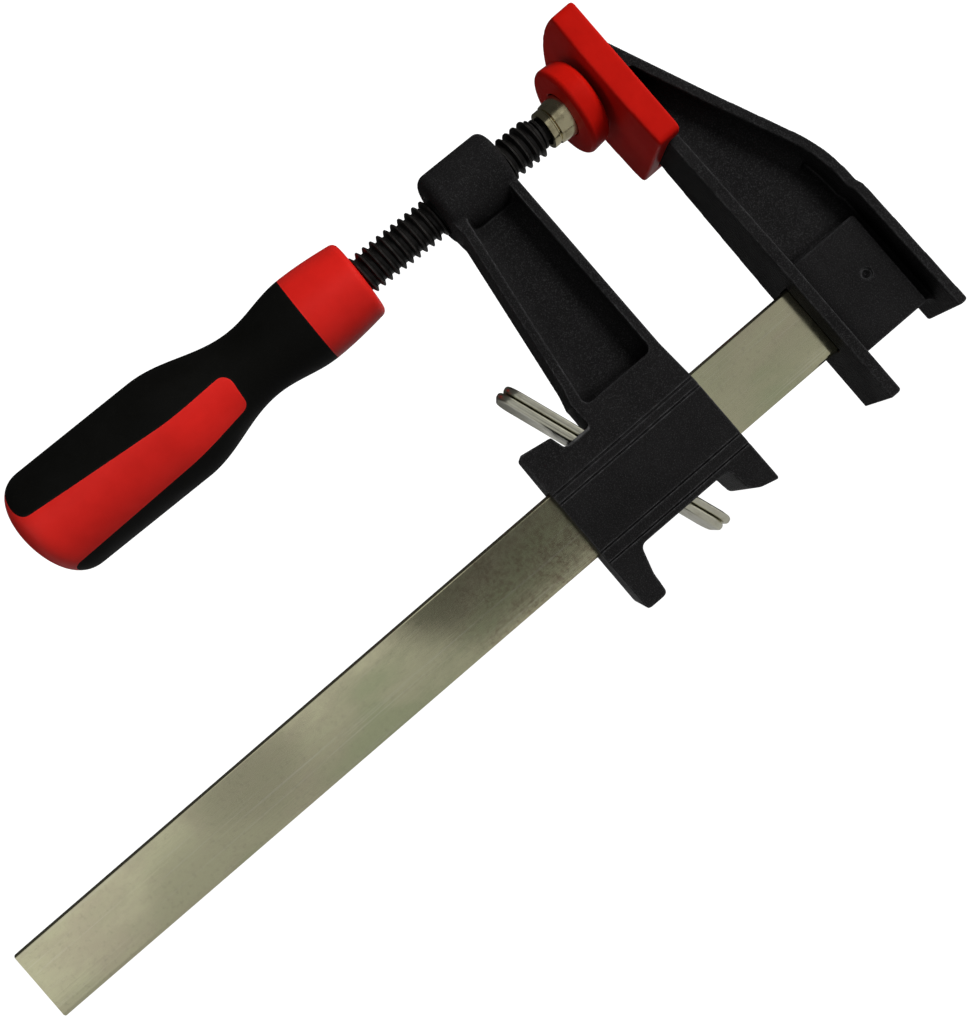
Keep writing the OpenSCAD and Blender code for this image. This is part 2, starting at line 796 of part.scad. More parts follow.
bar();
fixed_jaw();
jaw_pin();
jaw_cap();
sliding_arm();
clutch_plate_left();
clutch_plate_right();
clutch_spring();
spindle();
spindle_ball();
swivel_foot();
swivel_cap();
handle_core();
handle_grip();
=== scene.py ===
"""Looks of the ratchet bar clamp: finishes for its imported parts, its fine forms, and the studio.

Every length is in metres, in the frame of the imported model: +X runs along the bar to the back of
the fixed jaw, +Z up to the screw, and Y = 0 is the mid-plane.
"""

import logging
import math
from dataclasses import dataclass, field
from enum import Enum

import bmesh
import bpy
from mathutils import Matrix, Vector


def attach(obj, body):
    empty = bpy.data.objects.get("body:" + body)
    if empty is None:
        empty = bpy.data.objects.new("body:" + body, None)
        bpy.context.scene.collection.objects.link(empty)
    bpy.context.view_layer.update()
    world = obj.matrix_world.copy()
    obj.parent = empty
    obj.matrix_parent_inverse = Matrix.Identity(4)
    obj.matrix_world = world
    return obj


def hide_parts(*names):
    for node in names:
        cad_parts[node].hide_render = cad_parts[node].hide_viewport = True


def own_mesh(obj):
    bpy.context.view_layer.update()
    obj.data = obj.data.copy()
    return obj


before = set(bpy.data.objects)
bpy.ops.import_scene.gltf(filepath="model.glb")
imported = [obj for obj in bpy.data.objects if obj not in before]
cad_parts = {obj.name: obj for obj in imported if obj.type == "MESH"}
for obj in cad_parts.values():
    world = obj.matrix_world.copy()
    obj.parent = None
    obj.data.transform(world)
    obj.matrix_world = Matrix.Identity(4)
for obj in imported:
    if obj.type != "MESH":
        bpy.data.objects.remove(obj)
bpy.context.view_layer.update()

LOG = logging.getLogger("bar_clamp")

Colour = tuple[float, float, float]
Point = tuple[float, float]
Span = tuple[float, float]

# Sockets of a Mix node for colours
MIX_SHARE, MIX_FIRST, MIX_SECOND, MIX_RESULT = 0, 6, 7, 2
# Distance at which a cut takes a vertex as lying in it, in metres
CUT_REACH = 0.0000001
# Distance within which the vertices of a built mesh are merged
MERGE_REACH = 0.000002
# Angles in degrees past which an edge stays sharp
SHARP_TURNED, SHARP_CAST, SHARP_MOULDED = 40.0, 35.0, 30.0


class Body(Enum):
    """The bodies of the clamp that a piece can ride on."""

    FRAME = "frame"
    SLIDER = "slider"
    CLUTCH = "clutch"
    SCREW = "screw"
    FOOT = "foot"


# Shader building


@dataclass(frozen=True)
class Clouds:
    """A cloudy mask of noise: low to high of the noise becomes faint to full."""

    per_metre: float
    detail: float
    roughness: float
    low: float
    high: float
    faint: float = 0.0
    full: float = 1.0


@dataclass
class Shader:
    """A node tree with short calls to add, join and set its nodes."""

    tree: bpy.types.NodeTree

    @classmethod
    def blank(cls, owner: bpy.types.Material | bpy.types.World) -> "Shader":
        """Empties a node tree.

        Args:
            owner: Material or world whose nodes are taken away.

        Returns:
            A builder for its new nodes.
        """
        owner.use_nodes = True
        owner.node_tree.nodes.clear()
        return cls(owner.node_tree)

    def add(self, kind: str, **values: object) -> bpy.types.Node:
        """Adds a node.

        Args:
            kind: Type name of the node, without its ShaderNode prefix.
            values: Properties of the node, and inputs named with their spaces as underscores.

        Returns:
            The new node.
        """
        node = self.tree.nodes.new("ShaderNode" + kind)
        for name, value in values.items():
            if hasattr(node, name):
                setattr(node, name, value)
            else:
                self.feed(node, name.replace("_", " "), value)
        return node

    def feed(self, node: bpy.types.Node, name: str | int, value: object) -> None:
        """Sets one input of a node, or joins it to another node's output.

        Args:
            node: Node whose input is fed.
            name: Name or number of the input.
            value: Output socket to join, or a plain value to set.
        """
        socket = node.inputs[name]
        if isinstance(value, bpy.types.NodeSocket):
            self.tree.links.new(value, socket)
        else:
            socket.default_value = value

    def math(self, operation: str, *values: object) -> bpy.types.NodeSocket:
        """Adds a Math node.

        Args:
            operation: What the node works out.
            values: One to three numbers or outputs.

        Returns:
            The node's result.
        """
        node = self.add("Math", operation=operation)
        for number, value in enumerate(values):
            self.feed(node, number, value)
        return node.outputs[0]

    def spread(self, value: bpy.types.NodeSocket, low: float, high: float,
               to_low: float = 0.0, to_high: float = 1.0) -> bpy.types.NodeSocket:
        """Maps low..high smoothly onto to_low..to_high, held at both ends.

        Args:
            value: Output that is mapped.
            low: Value that becomes to_low.
            high: Value that becomes to_high.
            to_low: Result at low.
            to_high: Result at high.

        Returns:
            The mapped output.
        """
        node = self.add("MapRange", interpolation_type="SMOOTHSTEP")
        for name, number in (("From Min", low), ("From Max", high), ("To Min", to_low), ("To Max", to_high)):
            self.feed(node, name, number)
        self.feed(node, "Value", value)
        return node.outputs["Result"]

    def blend(self, share: object, first: object, second: object) -> bpy.types.NodeSocket:
        """Mixes two colours.

        Args:
            share: Share of the second colour.
            first: Colour or output.
            second: Colour or output.

        Returns:
            The mixed colour.
        """
        node = self.add("Mix", data_type="RGBA")
        for number, value in ((MIX_SHARE, share), (MIX_FIRST, first), (MIX_SECOND, second)):
            self.feed(node, number, (*value, 1.0) if isinstance(value, tuple) else value)
        return node.outputs[MIX_RESULT]

    def coat(self, base: object, colour: object, mask: bpy.types.NodeSocket, share: float) -> bpy.types.NodeSocket:
        """Lays a colour over a base colour where a mask shows it, up to a share."""
        return self.blend(self.math("MULTIPLY", mask, share), base, colour)

    def noise(self, position: bpy.types.NodeSocket, per_metre: float, detail: float = 3.0,
              roughness: float = 0.5) -> bpy.types.NodeSocket:
        """Adds a Noise texture.

        Args:
            position: Output that places the noise.
            per_metre: Size of the noise, as its number of swells in a metre.
            detail: Number of finer layers.
            roughness: Share of the finer layers.

        Returns:
            The noise's value.
        """
        node = self.add("TexNoise", Scale=per_metre, Detail=detail, Roughness=roughness)
        self.feed(node, "Vector", position)
        return node.outputs["Fac"]

    def clouds(self, position: bpy.types.NodeSocket, pattern: Clouds) -> bpy.types.NodeSocket:
        """Adds a cloudy pattern over a position and returns its mask."""
        noise = self.noise(position, pattern.per_metre, pattern.detail, pattern.roughness)
        return self.spread(noise, pattern.low, pattern.high, pattern.faint, pattern.full)

    def stretched(self, position: bpy.types.NodeSocket, scale: tuple[float, float, float]) -> bpy.types.NodeSocket:
        """Scales a position along each axis.

        Args:
            position: Output that is scaled.
            scale: Factor along X, Y and Z.

        Returns:
            The scaled position.
        """
        node = self.add("Mapping", Scale=scale)
        self.feed(node, "Vector", position)
        return node.outputs["Vector"]


def new_group(name: str, inputs: dict[str, float], outputs: tuple[str, ...]) -> tuple[bpy.types.NodeTree, Shader]:
    """Makes an empty shader group of number sockets.

    Args:
        name: Name of the group.
        inputs: Name and default of each input.
        outputs: Name of each output.

    Returns:
        The group, and a builder for its nodes.
    """
    group = bpy.data.node_groups.new(name, "ShaderNodeTree")
    for label, default in inputs.items():
        socket = group.interface.new_socket(label, in_out="INPUT", socket_type="NodeSocketFloat")
        socket.default_value = default
    for label in outputs:
        group.interface.new_socket(label, in_out="OUTPUT", socket_type="NodeSocketFloat")
    return group, Shader(group)


# Fine grains along one pebble, and the noise values of no speck and of a full speck
FINE_GRAIN_RATIO = 2.7
SPECKLE = (0.52, 0.70)
# Cosines between the rounded and the true normal, from no edge to a full edge
EDGE_TURN = (0.999, 0.93)
WEAR_PATCHES = Clouds(420.0, 4.0, 0.6, 0.40, 0.62)
# Shares of open sky, from a flat face to a full hollow, over which the painted shade in hollows grows to full
HOLLOW_SKY = (0.90, 0.50)
EDGE_SAMPLES, HOLLOW_SAMPLES = 4, 6
# Noise past which a scuff shows, what each share of scuffs takes off it, and how fast a scuff fills
SCUFF_START = 0.72
SCUFF_START_PER_SHARE = 0.4
SCUFF_CONTRAST = 9.0


def grain_group() -> bpy.types.NodeTree:
    """Builds the group for a fine, even grain: pebbles of a given size with a finer one on top.

    Returns:
        The group.
    """
    group, shader = new_group("surface grain", {"Pebbles per metre": 1500.0, "Fine share": 0.35}, ("Height", "Speckle"))
    given = group.nodes.new("NodeGroupInput")
    made = group.nodes.new("NodeGroupOutput")
    place = shader.add("TexCoord").outputs["Object"]
    pebbles = shader.add("TexNoise", Detail=2.0, Roughness=0.55)
    fine = shader.add("TexNoise", Detail=1.0, Roughness=0.5)
    for node in (pebbles, fine):
        shader.feed(node, "Vector", place)
    shader.feed(pebbles, "Scale", given.outputs["Pebbles per metre"])
    shader.feed(fine, "Scale", shader.math("MULTIPLY", given.outputs["Pebbles per metre"], FINE_GRAIN_RATIO))
    share = shader.math("MULTIPLY", fine.outputs["Fac"], given.outputs["Fine share"])
    shader.feed(made, "Height", shader.math("ADD", pebbles.outputs["Fac"], share))
    shader.feed(made, "Speckle", shader.spread(fine.outputs["Fac"], *SPECKLE))
    return group


def wear_and_hollow_shade_group() -> bpy.types.NodeTree:
    """Builds the group for worn edges and for painted shade: one mask on outer edges, one of painted shade in corners
    and grooves.

    Returns:
        The group.
    """
    group, shader = new_group("edge wear and hollow shade", {"Radius": 0.0006, "Breakup": 0.5, "Reach": 0.003}, ("Mask", "Hollow shade"))
    given = group.nodes.new("NodeGroupInput")
    made = group.nodes.new("NodeGroupOutput")
    rounded = shader.add("Bevel", samples=EDGE_SAMPLES)
    shader.feed(rounded, "Radius", given.outputs["Radius"])
    turn = shader.add("VectorMath", operation="DOT_PRODUCT")
    shader.feed(turn, 0, rounded.outputs["Normal"])
    shader.feed(turn, 1, shader.add("NewGeometry").outputs["Normal"])
    edge = shader.spread(turn.outputs["Value"], *EDGE_TURN)
    patches = shader.clouds(shader.add("TexCoord").outputs["Object"], WEAR_PATCHES)
    kept = shader.math("SUBTRACT", 1.0, shader.math("MULTIPLY", given.outputs["Breakup"],
                                                    shader.math("SUBTRACT", 1.0, patches)))
    # Painted shade in hollows: the less open sky a point sees, the fuller this mask; it also keeps wear off edges in
    # hollows.
    hollow = shader.add("AmbientOcclusion", samples=HOLLOW_SAMPLES, only_local=True)
    shader.feed(hollow, "Distance", given.outputs["Reach"])
    hollow_shade = shader.spread(hollow.outputs["AO"], *HOLLOW_SKY)
    open_edge = shader.math("MULTIPLY", edge, shader.math("SUBTRACT", 1.0, hollow_shade))
    shader.feed(made, "Mask", shader.math("MULTIPLY", open_edge, kept))
    shader.feed(made, "Hollow shade", hollow_shade)
    return group


def scuff_group() -> bpy.types.NodeTree:
    """Builds the group for hairline scuffs along X, Y or Z: a mask with thin, long marks.

    Returns:
        The group.
    """
    group, shader = new_group("scuffs", {"Along X": 8.0, "Along Y": 900.0, "Along Z": 900.0, "Share": 0.3}, ("Mask",))
    given = group.nodes.new("NodeGroupInput")
    made = group.nodes.new("NodeGroupOutput")
    joined = shader.add("CombineXYZ")
    for label in "XYZ":
        shader.feed(joined, label, given.outputs["Along " + label])
    place = shader.add("VectorMath", operation="MULTIPLY")
    shader.feed(place, 0, shader.add("TexCoord").outputs["Object"])
    shader.feed(place, 1, joined.outputs[0])
    lines = shader.noise(place.outputs[0], per_metre=1.0, detail=3.0, roughness=0.65)
    less = shader.math("MULTIPLY", given.outputs["Share"], SCUFF_START_PER_SHARE)
    start = shader.math("SUBTRACT", SCUFF_START, less)
    above = shader.math("MULTIPLY", shader.math("SUBTRACT", lines, start), SCUFF_CONTRAST)
    shader.feed(made, "Mask", shader.math("MINIMUM", shader.math("MAXIMUM", above, 0.0), 1.0))
    return group


@dataclass(frozen=True)
class Effects:
    """The shared shader groups that the finishes place in their materials."""

    grain: bpy.types.NodeTree
    wear: bpy.types.NodeTree
    scuffs: bpy.types.NodeTree

    @classmethod
    def build(cls) -> "Effects":
        """Builds each group once."""
        return cls(grain=grain_group(), wear=wear_and_hollow_shade_group(), scuffs=scuff_group())


# Finishes


@dataclass(frozen=True)
class Finish:
    """A surface: what every finish of the clamp has in common."""

    name: str
    slot: str
    colour: Colour
    roughness: float

    def material(self, effects: Effects) -> bpy.types.Material:
        """Makes the material of this finish.

        Args:
            effects: Shared shader groups.

        Returns:
            A material with all its nodes.
        """
        material = bpy.data.materials.new(self.name)
        shader = Shader.blank(material)
        surface = shader.add("BsdfPrincipled")
        shader.feed(shader.add("OutputMaterial"), "Surface", surface.outputs["BSDF"])
        self.paint(shader, surface, effects)
        return material

    def paint(self, shader: Shader, surface: bpy.types.Node, effects: Effects) -> None:
        """Sets the surface's colour, gloss and relief, which each finish does in its own way.

        Args:
            shader: Builder of the material's nodes.
            surface: The material's shader node.
            effects: Shared shader groups.
        """
        raise NotImplementedError

    def place(self, shader: Shader, group: bpy.types.NodeTree, **values: float) -> bpy.types.Node:
        """Places a shared group in a material.

        Args:
            shader: Builder of the material's nodes.
            group: The shared group.
            values: Inputs of the group, named with their spaces as underscores.

        Returns:
            The group's node.
        """
        node = shader.add("Group", node_tree=group)
        for name, value in values.items():
            shader.feed(node, name.replace("_", " "), value)
        return node

    def gloss(self, shader: Shader, surface: bpy.types.Node, mask: bpy.types.NodeSocket,
              change: Span, full: float = 1.0) -> None:
        """Lets the surface's roughness follow a mask.

        Args:
            shader: Builder of the material's nodes.
            surface: The material's shader node.
            mask: Mask from 0 to full.
            change: What the roughness gains where the mask is 0 and where it is full.
            full: Top of the mask's range.
        """
        rough = shader.spread(mask, 0.0, full, self.roughness + change[0], self.roughness + change[1])
        shader.feed(surface, "Roughness", rough)

    def relief(self, shader: Shader, surface: bpy.types.Node, height: bpy.types.NodeSocket,
               depth: float, strength: float) -> None:
        """Feeds a height into the surface's normal through one Bump node.

        Args:
            shader: Builder of the material's nodes.
            surface: The material's shader node.
            height: Height from 0 to 1.
            depth: Real depth of that height, in metres.
            strength: Share of the relief that shows.
        """
        bump = shader.add("Bump", Strength=strength, Distance=depth)
        shader.feed(bump, "Height", height)
        shader.feed(surface, "Normal", bump.outputs["Normal"])


@dataclass(frozen=True)
class PowderCoat(Finish):
    """Textured black coating over the castings, lighter on their edges, where it is worn thin and where a highlight is
    painted, with painted shade in its hollows.
    """

    # Pale colour of the specks and of the edges; on the edges it is partly wear, partly a painted highlight.
    edge_colour: Colour = (0.100, 0.100, 0.102)
    dark_share: float = 0.72
    cloud: Clouds = Clouds(55.0, 4.0, 0.6, 0.3, 0.7)
    gloss_change: Span = (0.05, -0.06)
    shine: float = 0.04
    pebbles_per_metre: float = 1350.0
    fine_share: float = 0.4
    depth: float = 0.00032
    relief_share: float = 0.85
    speckle_share: float = 0.22
    wear_radius: float = 0.0007
    wear_breakup: float = 0.55
    wear_share: float = 0.75
    # Painted shade in hollows: how dark it goes, and how far the hollow test looks.
    hollow_shade_share: float = 0.8
    hollow_shade_reach: float = 0.006

    def paint(self, shader: Shader, surface: bpy.types.Node, effects: Effects) -> None:
        """Paints pebbled black with pale specks, edges lightened by wear and a painted highlight, and painted shade in
        the hollows.

        Args:
            shader: Builder of the material's nodes.
            surface: The material's shader node.
            effects: Shared shader groups.
        """
        grain = self.place(shader, effects.grain, Pebbles_per_metre=self.pebbles_per_metre,
                           Fine_share=self.fine_share)
        wear = self.place(shader, effects.wear, Radius=self.wear_radius, Breakup=self.wear_breakup,
                          Reach=self.hollow_shade_reach)
        cloud = shader.clouds(shader.add("TexCoord").outputs["Object"], self.cloud)
        dark = tuple(self.dark_share * part for part in self.colour)
        specked = shader.coat(shader.blend(cloud, dark, self.colour), self.edge_colour, grain.outputs["Speckle"],
                              self.speckle_share)
        # Edges lightened: partly wear, partly a painted highlight.
        worn = shader.coat(specked, self.edge_colour, wear.outputs["Mask"], self.wear_share)
        # Painted shade: the coat darkened towards black in corners, grooves and recesses.
        black = shader.coat(worn, (0.0, 0.0, 0.0), wear.outputs["Hollow shade"], self.hollow_shade_share)
        shader.feed(surface, "Base Color", black)
        self.gloss(shader, surface, cloud, self.gloss_change)
        shader.feed(surface, "Specular IOR Level", self.shine)
        self.relief(shader, surface, grain.outputs["Height"], self.depth, self.relief_share)


@dataclass(frozen=True)
class ZincPlate(Finish):
    """Dull yellowish zinc on the flat bar: cloudy patches, rolling marks, slide scuffs, and a mottled painted dark
    reflection left of the arm.
    """

    pink: Colour = (0.56, 0.50, 0.36)
    green: Colour = (0.46, 0.50, 0.30)
    smudge: Colour = (0.36, 0.34, 0.24)
    # Colour of the painted dark reflection left of the arm.
    film: Colour = (0.30, 0.225, 0.15)
    scratch: Colour = (0.78, 0.76, 0.66)
    stretch: tuple[float, float, float] = (0.45, 1.0, 1.0)
    patches: Clouds = Clouds(75.0, 5.0, 0.62, 0.36, 0.66)
    tints: Clouds = Clouds(38.0, 3.0, 0.55, 0.40, 0.62)
    tint_share: float = 0.75
    spots: Clouds = Clouds(620.0, 4.0, 0.7, 0.50, 0.78)
    spot_share: float = 0.35
    # Where along X the painted dark reflection fades in and out, and its mottling.
    reflection_from: Span = (-0.136, -0.116)
    reflection_to: Span = (-0.075, -0.055)
    reflection_specks: Clouds = Clouds(780.0, 5.0, 0.72, 0.40, 0.66, 0.10, 0.75)
    reflection_clouds: Clouds = Clouds(130.0, 3.0, 0.6, 0.30, 0.70, 0.45)
    scuff_share: float = 0.35
    scratch_share: float = 0.25
    gloss_change: Span = (-0.02, 0.05)
    rolling: tuple[float, float, float] = (30.0, 1400.0, 1400.0)
    rolled_share: float = 0.6
    depth: float = 0.00002
    relief_share: float = 0.4

    def paint(self, shader: Shader, surface: bpy.types.Node, effects: Effects) -> None:
        """Paints cloudy zinc whose patches differ in tint and gloss.

        Args:
            shader: Builder of the material's nodes.
            surface: The material's shader node.
            effects: Shared shader groups.
        """
        place = shader.add("TexCoord").outputs["Object"]
        along = shader.stretched(place, self.stretch)
        patches = shader.clouds(along, self.patches)
        tint = shader.blend(shader.clouds(along, self.tints), self.pink, self.green)
        base = shader.coat(self.colour, tint, patches, self.tint_share)
        spotted = shader.coat(base, self.smudge, shader.clouds(place, self.spots), self.spot_share)
        # Painted reflection: a mottled dark patch laid over the zinc left of the arm.
        with_painted_reflection = shader.blend(self.painted_reflection_mask(shader, place), spotted, self.film)
        scuffs = self.place(shader, effects.scuffs, Along_X=14.0, Along_Y=1500.0, Along_Z=1500.0,
                            Share=self.scuff_share)
        scratched = shader.coat(with_painted_reflection, self.scratch, scuffs.outputs["Mask"], self.scratch_share)
        shader.feed(surface, "Base Color", scratched)
        shader.feed(surface, "Metallic", 1.0)
        self.gloss(shader, surface, patches, self.gloss_change)
        rolled = shader.noise(shader.stretched(place, self.rolling), per_metre=1.0, detail=3.0, roughness=0.6)
        height = shader.math("ADD", shader.math("MULTIPLY", rolled, self.rolled_share),
                             shader.math("MULTIPLY", patches, 1.0 - self.rolled_share))
        self.relief(shader, surface, height, self.depth, self.relief_share)

    def painted_reflection_mask(self, shader: Shader, place: bpy.types.NodeSocket) -> bpy.types.NodeSocket:
        """Masks the mottled painted dark reflection on the bar, in a band left of the arm.

        Args:
            shader: Builder of the material's nodes.
            place: Position on the bar.

        Returns:
            The mask.
        """
        apart = shader.add("SeparateXYZ")
        shader.feed(apart, 0, place)
        reached = shader.math("MULTIPLY", shader.spread(apart.outputs["X"], *self.reflection_from),
                              shader.spread(apart.outputs["X"], *self.reflection_to, to_low=1.0, to_high=0.0))
        mottled = shader.math("MULTIPLY", shader.clouds(place, self.reflection_specks),
                              shader.clouds(place, self.reflection_clouds))
        return shader.math("MULTIPLY", reached, mottled)


@dataclass(frozen=True)
class BrightNickel(Finish):
    """Bright metal on the clutch plates, the swivel foot and the spring, with a few fine scratches."""

    stain: Colour = (0.42, 0.38, 0.27)
    stains: Clouds = Clouds(240.0, 4.0, 0.6, 0.45, 0.80)
    stain_share: float = 0.6
    scuff_share: float = 0.3
    gloss_change: Span = (0.0, 0.14)
    marks_full: float = 1.2
    ripples_per_metre: float = 260.0
    depth: float = 0.00003
    relief_share: float = 0.4

    def paint(self, shader: Shader, surface: bpy.types.Node, effects: Effects) -> None:
        """Paints bright metal with faint stains.

        Args:
            shader: Builder of the material's nodes.
            surface: The material's shader node.
            effects: Shared shader groups.
        """
        place = shader.add("TexCoord").outputs["Object"]
        stains = shader.clouds(place, self.stains)
        shader.feed(surface, "Base Color", shader.coat(self.colour, self.stain, stains, self.stain_share))
        shader.feed(surface, "Metallic", 1.0)
        scuffs = self.place(shader, effects.scuffs, Along_X=700.0, Along_Y=90.0, Along_Z=90.0,
                            Share=self.scuff_share)
        marks = shader.math("ADD", stains, scuffs.outputs["Mask"])
        self.gloss(shader, surface, marks, self.gloss_change, self.marks_full)
        ripples = shader.noise(place, self.ripples_per_metre, detail=1.0)
        self.relief(shader, surface, ripples, self.depth, self.relief_share)


@dataclass(frozen=True)
class BlackOxide(Finish):
    """Oiled black oxide on the screw, rubbed lighter on the crests of its thread."""

    rubbed: Colour = (0.09, 0.085, 0.08)
    thin: Colour = (0.016, 0.015, 0.014)
    film: Clouds = Clouds(300.0, 4.0, 0.6, 0.35, 0.7)
    metallic: float = 0.25
    shine: float = 0.25
    wear_radius: float = 0.0004
    wear_breakup: float = 0.7
    wear_share: float = 0.6
    gloss_change: Span = (0.0, 0.15)
    grains_per_metre: float = 1600.0
    depth: float = 0.00002
    relief_share: float = 0.5

    def paint(self, shader: Shader, surface: bpy.types.Node, effects: Effects) -> None:
        """Paints near-black metal with rubbed crests.

        Args:
            shader: Builder of the material's nodes.
            surface: The material's shader node.
            effects: Shared shader groups.
        """
        wear = self.place(shader, effects.wear, Radius=self.wear_radius, Breakup=self.wear_breakup)
        place = shader.add("TexCoord").outputs["Object"]
        film = shader.clouds(place, self.film)
        worn = shader.coat(shader.blend(film, self.colour, self.thin), self.rubbed, wear.outputs["Mask"],
                           self.wear_share)
        shader.feed(surface, "Base Color", worn)
        shader.feed(surface, "Metallic", self.metallic)
        shader.feed(surface, "Specular IOR Level", self.shine)
        self.gloss(shader, surface, film, self.gloss_change)
        grains = shader.noise(place, self.grains_per_metre, detail=2.0)
        self.relief(shader, surface, grains, self.depth, self.relief_share)


@dataclass(frozen=True)
class Moulding(Finish):
    """A plastic moulding: a satin skin with a fine mould texture and slight clouding."""

    shade: Colour = (0.0, 0.0, 0.0)
    cloud: Clouds = Clouds(70.0, 4.0, 0.6, 0.30, 0.72)
    texture_depth: float = 0.00004
    texture_per_metre: float = 2600.0
    fine_share: float = 0.5
    relief_share: float = 0.6
    shine: float = 0.45
    wear_radius: float = 0.0009
    wear_breakup: float = 0.8
    wear_share: float = 0.35
    pale_factor: float = 1.6
    pale_lift: float = 0.012
    gloss_change: Span = (-0.04, 0.06)

    def paint(self, shader: Shader, surface: bpy.types.Node, effects: Effects) -> None:
        """Paints moulded plastic, paler where its edges are rubbed.

        Args:
            shader: Builder of the material's nodes.
            surface: The material's shader node.
            effects: Shared shader groups.
        """
        grain = self.place(shader, effects.grain, Pebbles_per_metre=self.texture_per_metre,
                           Fine_share=self.fine_share)
        wear = self.place(shader, effects.wear, Radius=self.wear_radius, Breakup=self.wear_breakup)
        cloud = shader.clouds(shader.add("TexCoord").outputs["Object"], self.cloud)
        pale = tuple(min(1.0, self.pale_factor * part + self.pale_lift) for part in self.colour)
        rubbed = shader.coat(shader.blend(cloud, self.colour, self.shade), pale, wear.outputs["Mask"],
                             self.wear_share)
        shader.feed(surface, "Base Color", rubbed)
        self.gloss(shader, surface, cloud, self.gloss_change)
        shader.feed(surface, "Specular IOR Level", self.shine)
        self.relief(shader, surface, grain.outputs["Height"], self.texture_depth, self.relief_share)


CASTING = PowderCoat("black powder coat", "black_casting", (0.0112, 0.0108, 0.0110), 0.50)
# Pin end painted near black: painted shade standing in for the dimple it sits in.
PIN_END_IN_PAINTED_SHADE = PowderCoat("black pin end", "black_casting", (0.003, 0.003, 0.003), 0.60)
BAR = ZincPlate("yellowish zinc", "plated_bar", (0.60, 0.585, 0.385), 0.14)
NICKEL = BrightNickel("bright nickel", "bright_plate", (0.71, 0.70, 0.57), 0.30)
FOOT_NICKEL = BrightNickel("yellowed nickel", "bright_plate", (0.54, 0.49, 0.315), 0.18, stain=(0.22, 0.19, 0.11))
OXIDE = BlackOxide("oiled black oxide", "black_steel", (0.008, 0.0075, 0.007), 0.38)
WIRE = BrightNickel("spring wire", "spring_steel", (0.58, 0.58, 0.57), 0.30)
# One red plastic in two copies standing in for how the light falls: the caps' copy is painted darker and duller, the
# handle's lighter and glossier.
CAP_RED_PAINTED_DARKER = Moulding("red plastic", "red_plastic", (0.52, 0.008, 0.004), 0.38, shade=(0.44, 0.006, 0.003), shine=0.07)
HANDLE_RED_PAINTED_LIGHTER = Moulding("red handle core", "red_plastic", (0.68, 0.016, 0.011), 0.42, shade=(0.60, 0.013, 0.009),
                      shine=0.22)
GRIP = Moulding("black grip", "black_grip", (0.0035, 0.0035, 0.003), 0.62, shade=(0.005, 0.005, 0.0045),
                texture_depth=0.00007, texture_per_metre=2100.0, shine=0.06)


@dataclass
class Dresser:
    """Hands out one material for each finish and puts it on parts and pieces."""

    effects: Effects
    made: dict[str, bpy.types.Material] = field(default_factory=dict)

    def material(self, finish: Finish) -> bpy.types.Material:
        """Returns a finish's material, which it makes the first time.

        Args:
            finish: The finish.

        Returns:
            Its one material.
        """
        if finish.name not in self.made:
            self.made[finish.name] = finish.material(self.effects)
        return self.made[finish.name]

    def dress(self, part: bpy.types.Object, finish: Finish) -> None:
        """Gives every slot of a part the finish's material.

        Args:
            part: Part or piece.
            finish: Its finish.
        """
        if not part.material_slots:
            part.data.materials.append(None)
        for slot in part.material_slots:
            slot.material = self.material(finish)

    def dress_node(self, name: str, finish: Finish) -> None:
        """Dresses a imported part."""
        self.dress(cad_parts[name], finish)
        LOG.info("part %s: %s", name, finish.name)

    def add_piece(self, piece: bpy.types.Object, body: Body, finish: Finish, replaced: tuple[str, ...] = ()) -> None:
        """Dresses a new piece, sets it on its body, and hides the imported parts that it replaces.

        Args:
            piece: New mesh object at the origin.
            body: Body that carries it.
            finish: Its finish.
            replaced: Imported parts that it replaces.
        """
        self.dress(piece, finish)
        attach(piece, body.value)
        if replaced:
            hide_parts(*replaced)
        LOG.info("piece %s on %s: %s, %d faces", piece.name, body.value, finish.name, len(piece.data.polygons))


# Mesh building


def linked(name: str, data: bpy.types.ID) -> bpy.types.Object:
    """Makes an object and links it to the scene.

    Args:
        name: Name of the object.
        data: Its mesh, light or camera.

    Returns:
        The object, at the origin.
    """
    thing = bpy.data.objects.new(name, data)
    bpy.context.scene.collection.objects.link(thing)
    return thing


def shade_smoothly(mesh: bpy.types.Mesh, sharp_from: float) -> None:
    """Shades a mesh smoothly, but for edges sharper than an angle in degrees."""
    mesh.shade_smooth()
    mesh.set_sharp_from_angle(angle=math.radians(sharp_from))


def cut_across(mesh: bmesh.types.BMesh, at: Vector | tuple, facing: Vector | tuple, items: list | None = None,
               **more: bool) -> dict[str, list]:
    """Cuts a mesh along a plane.

    Args:
        mesh: Mesh that is cut.
        at: A point of the plane.
        facing: Normal of the plane.
        items: Vertices, edges and faces that are cut, or all of them.
        more: What else the cut does.

    Returns:
        What the cut made.
    """
    cut = [*mesh.verts, *mesh.edges, *mesh.faces] if items is None else items
    return bmesh.ops.bisect_plane(mesh, geom=cut, dist=CUT_REACH, plane_co=at, plane_no=facing, **more)


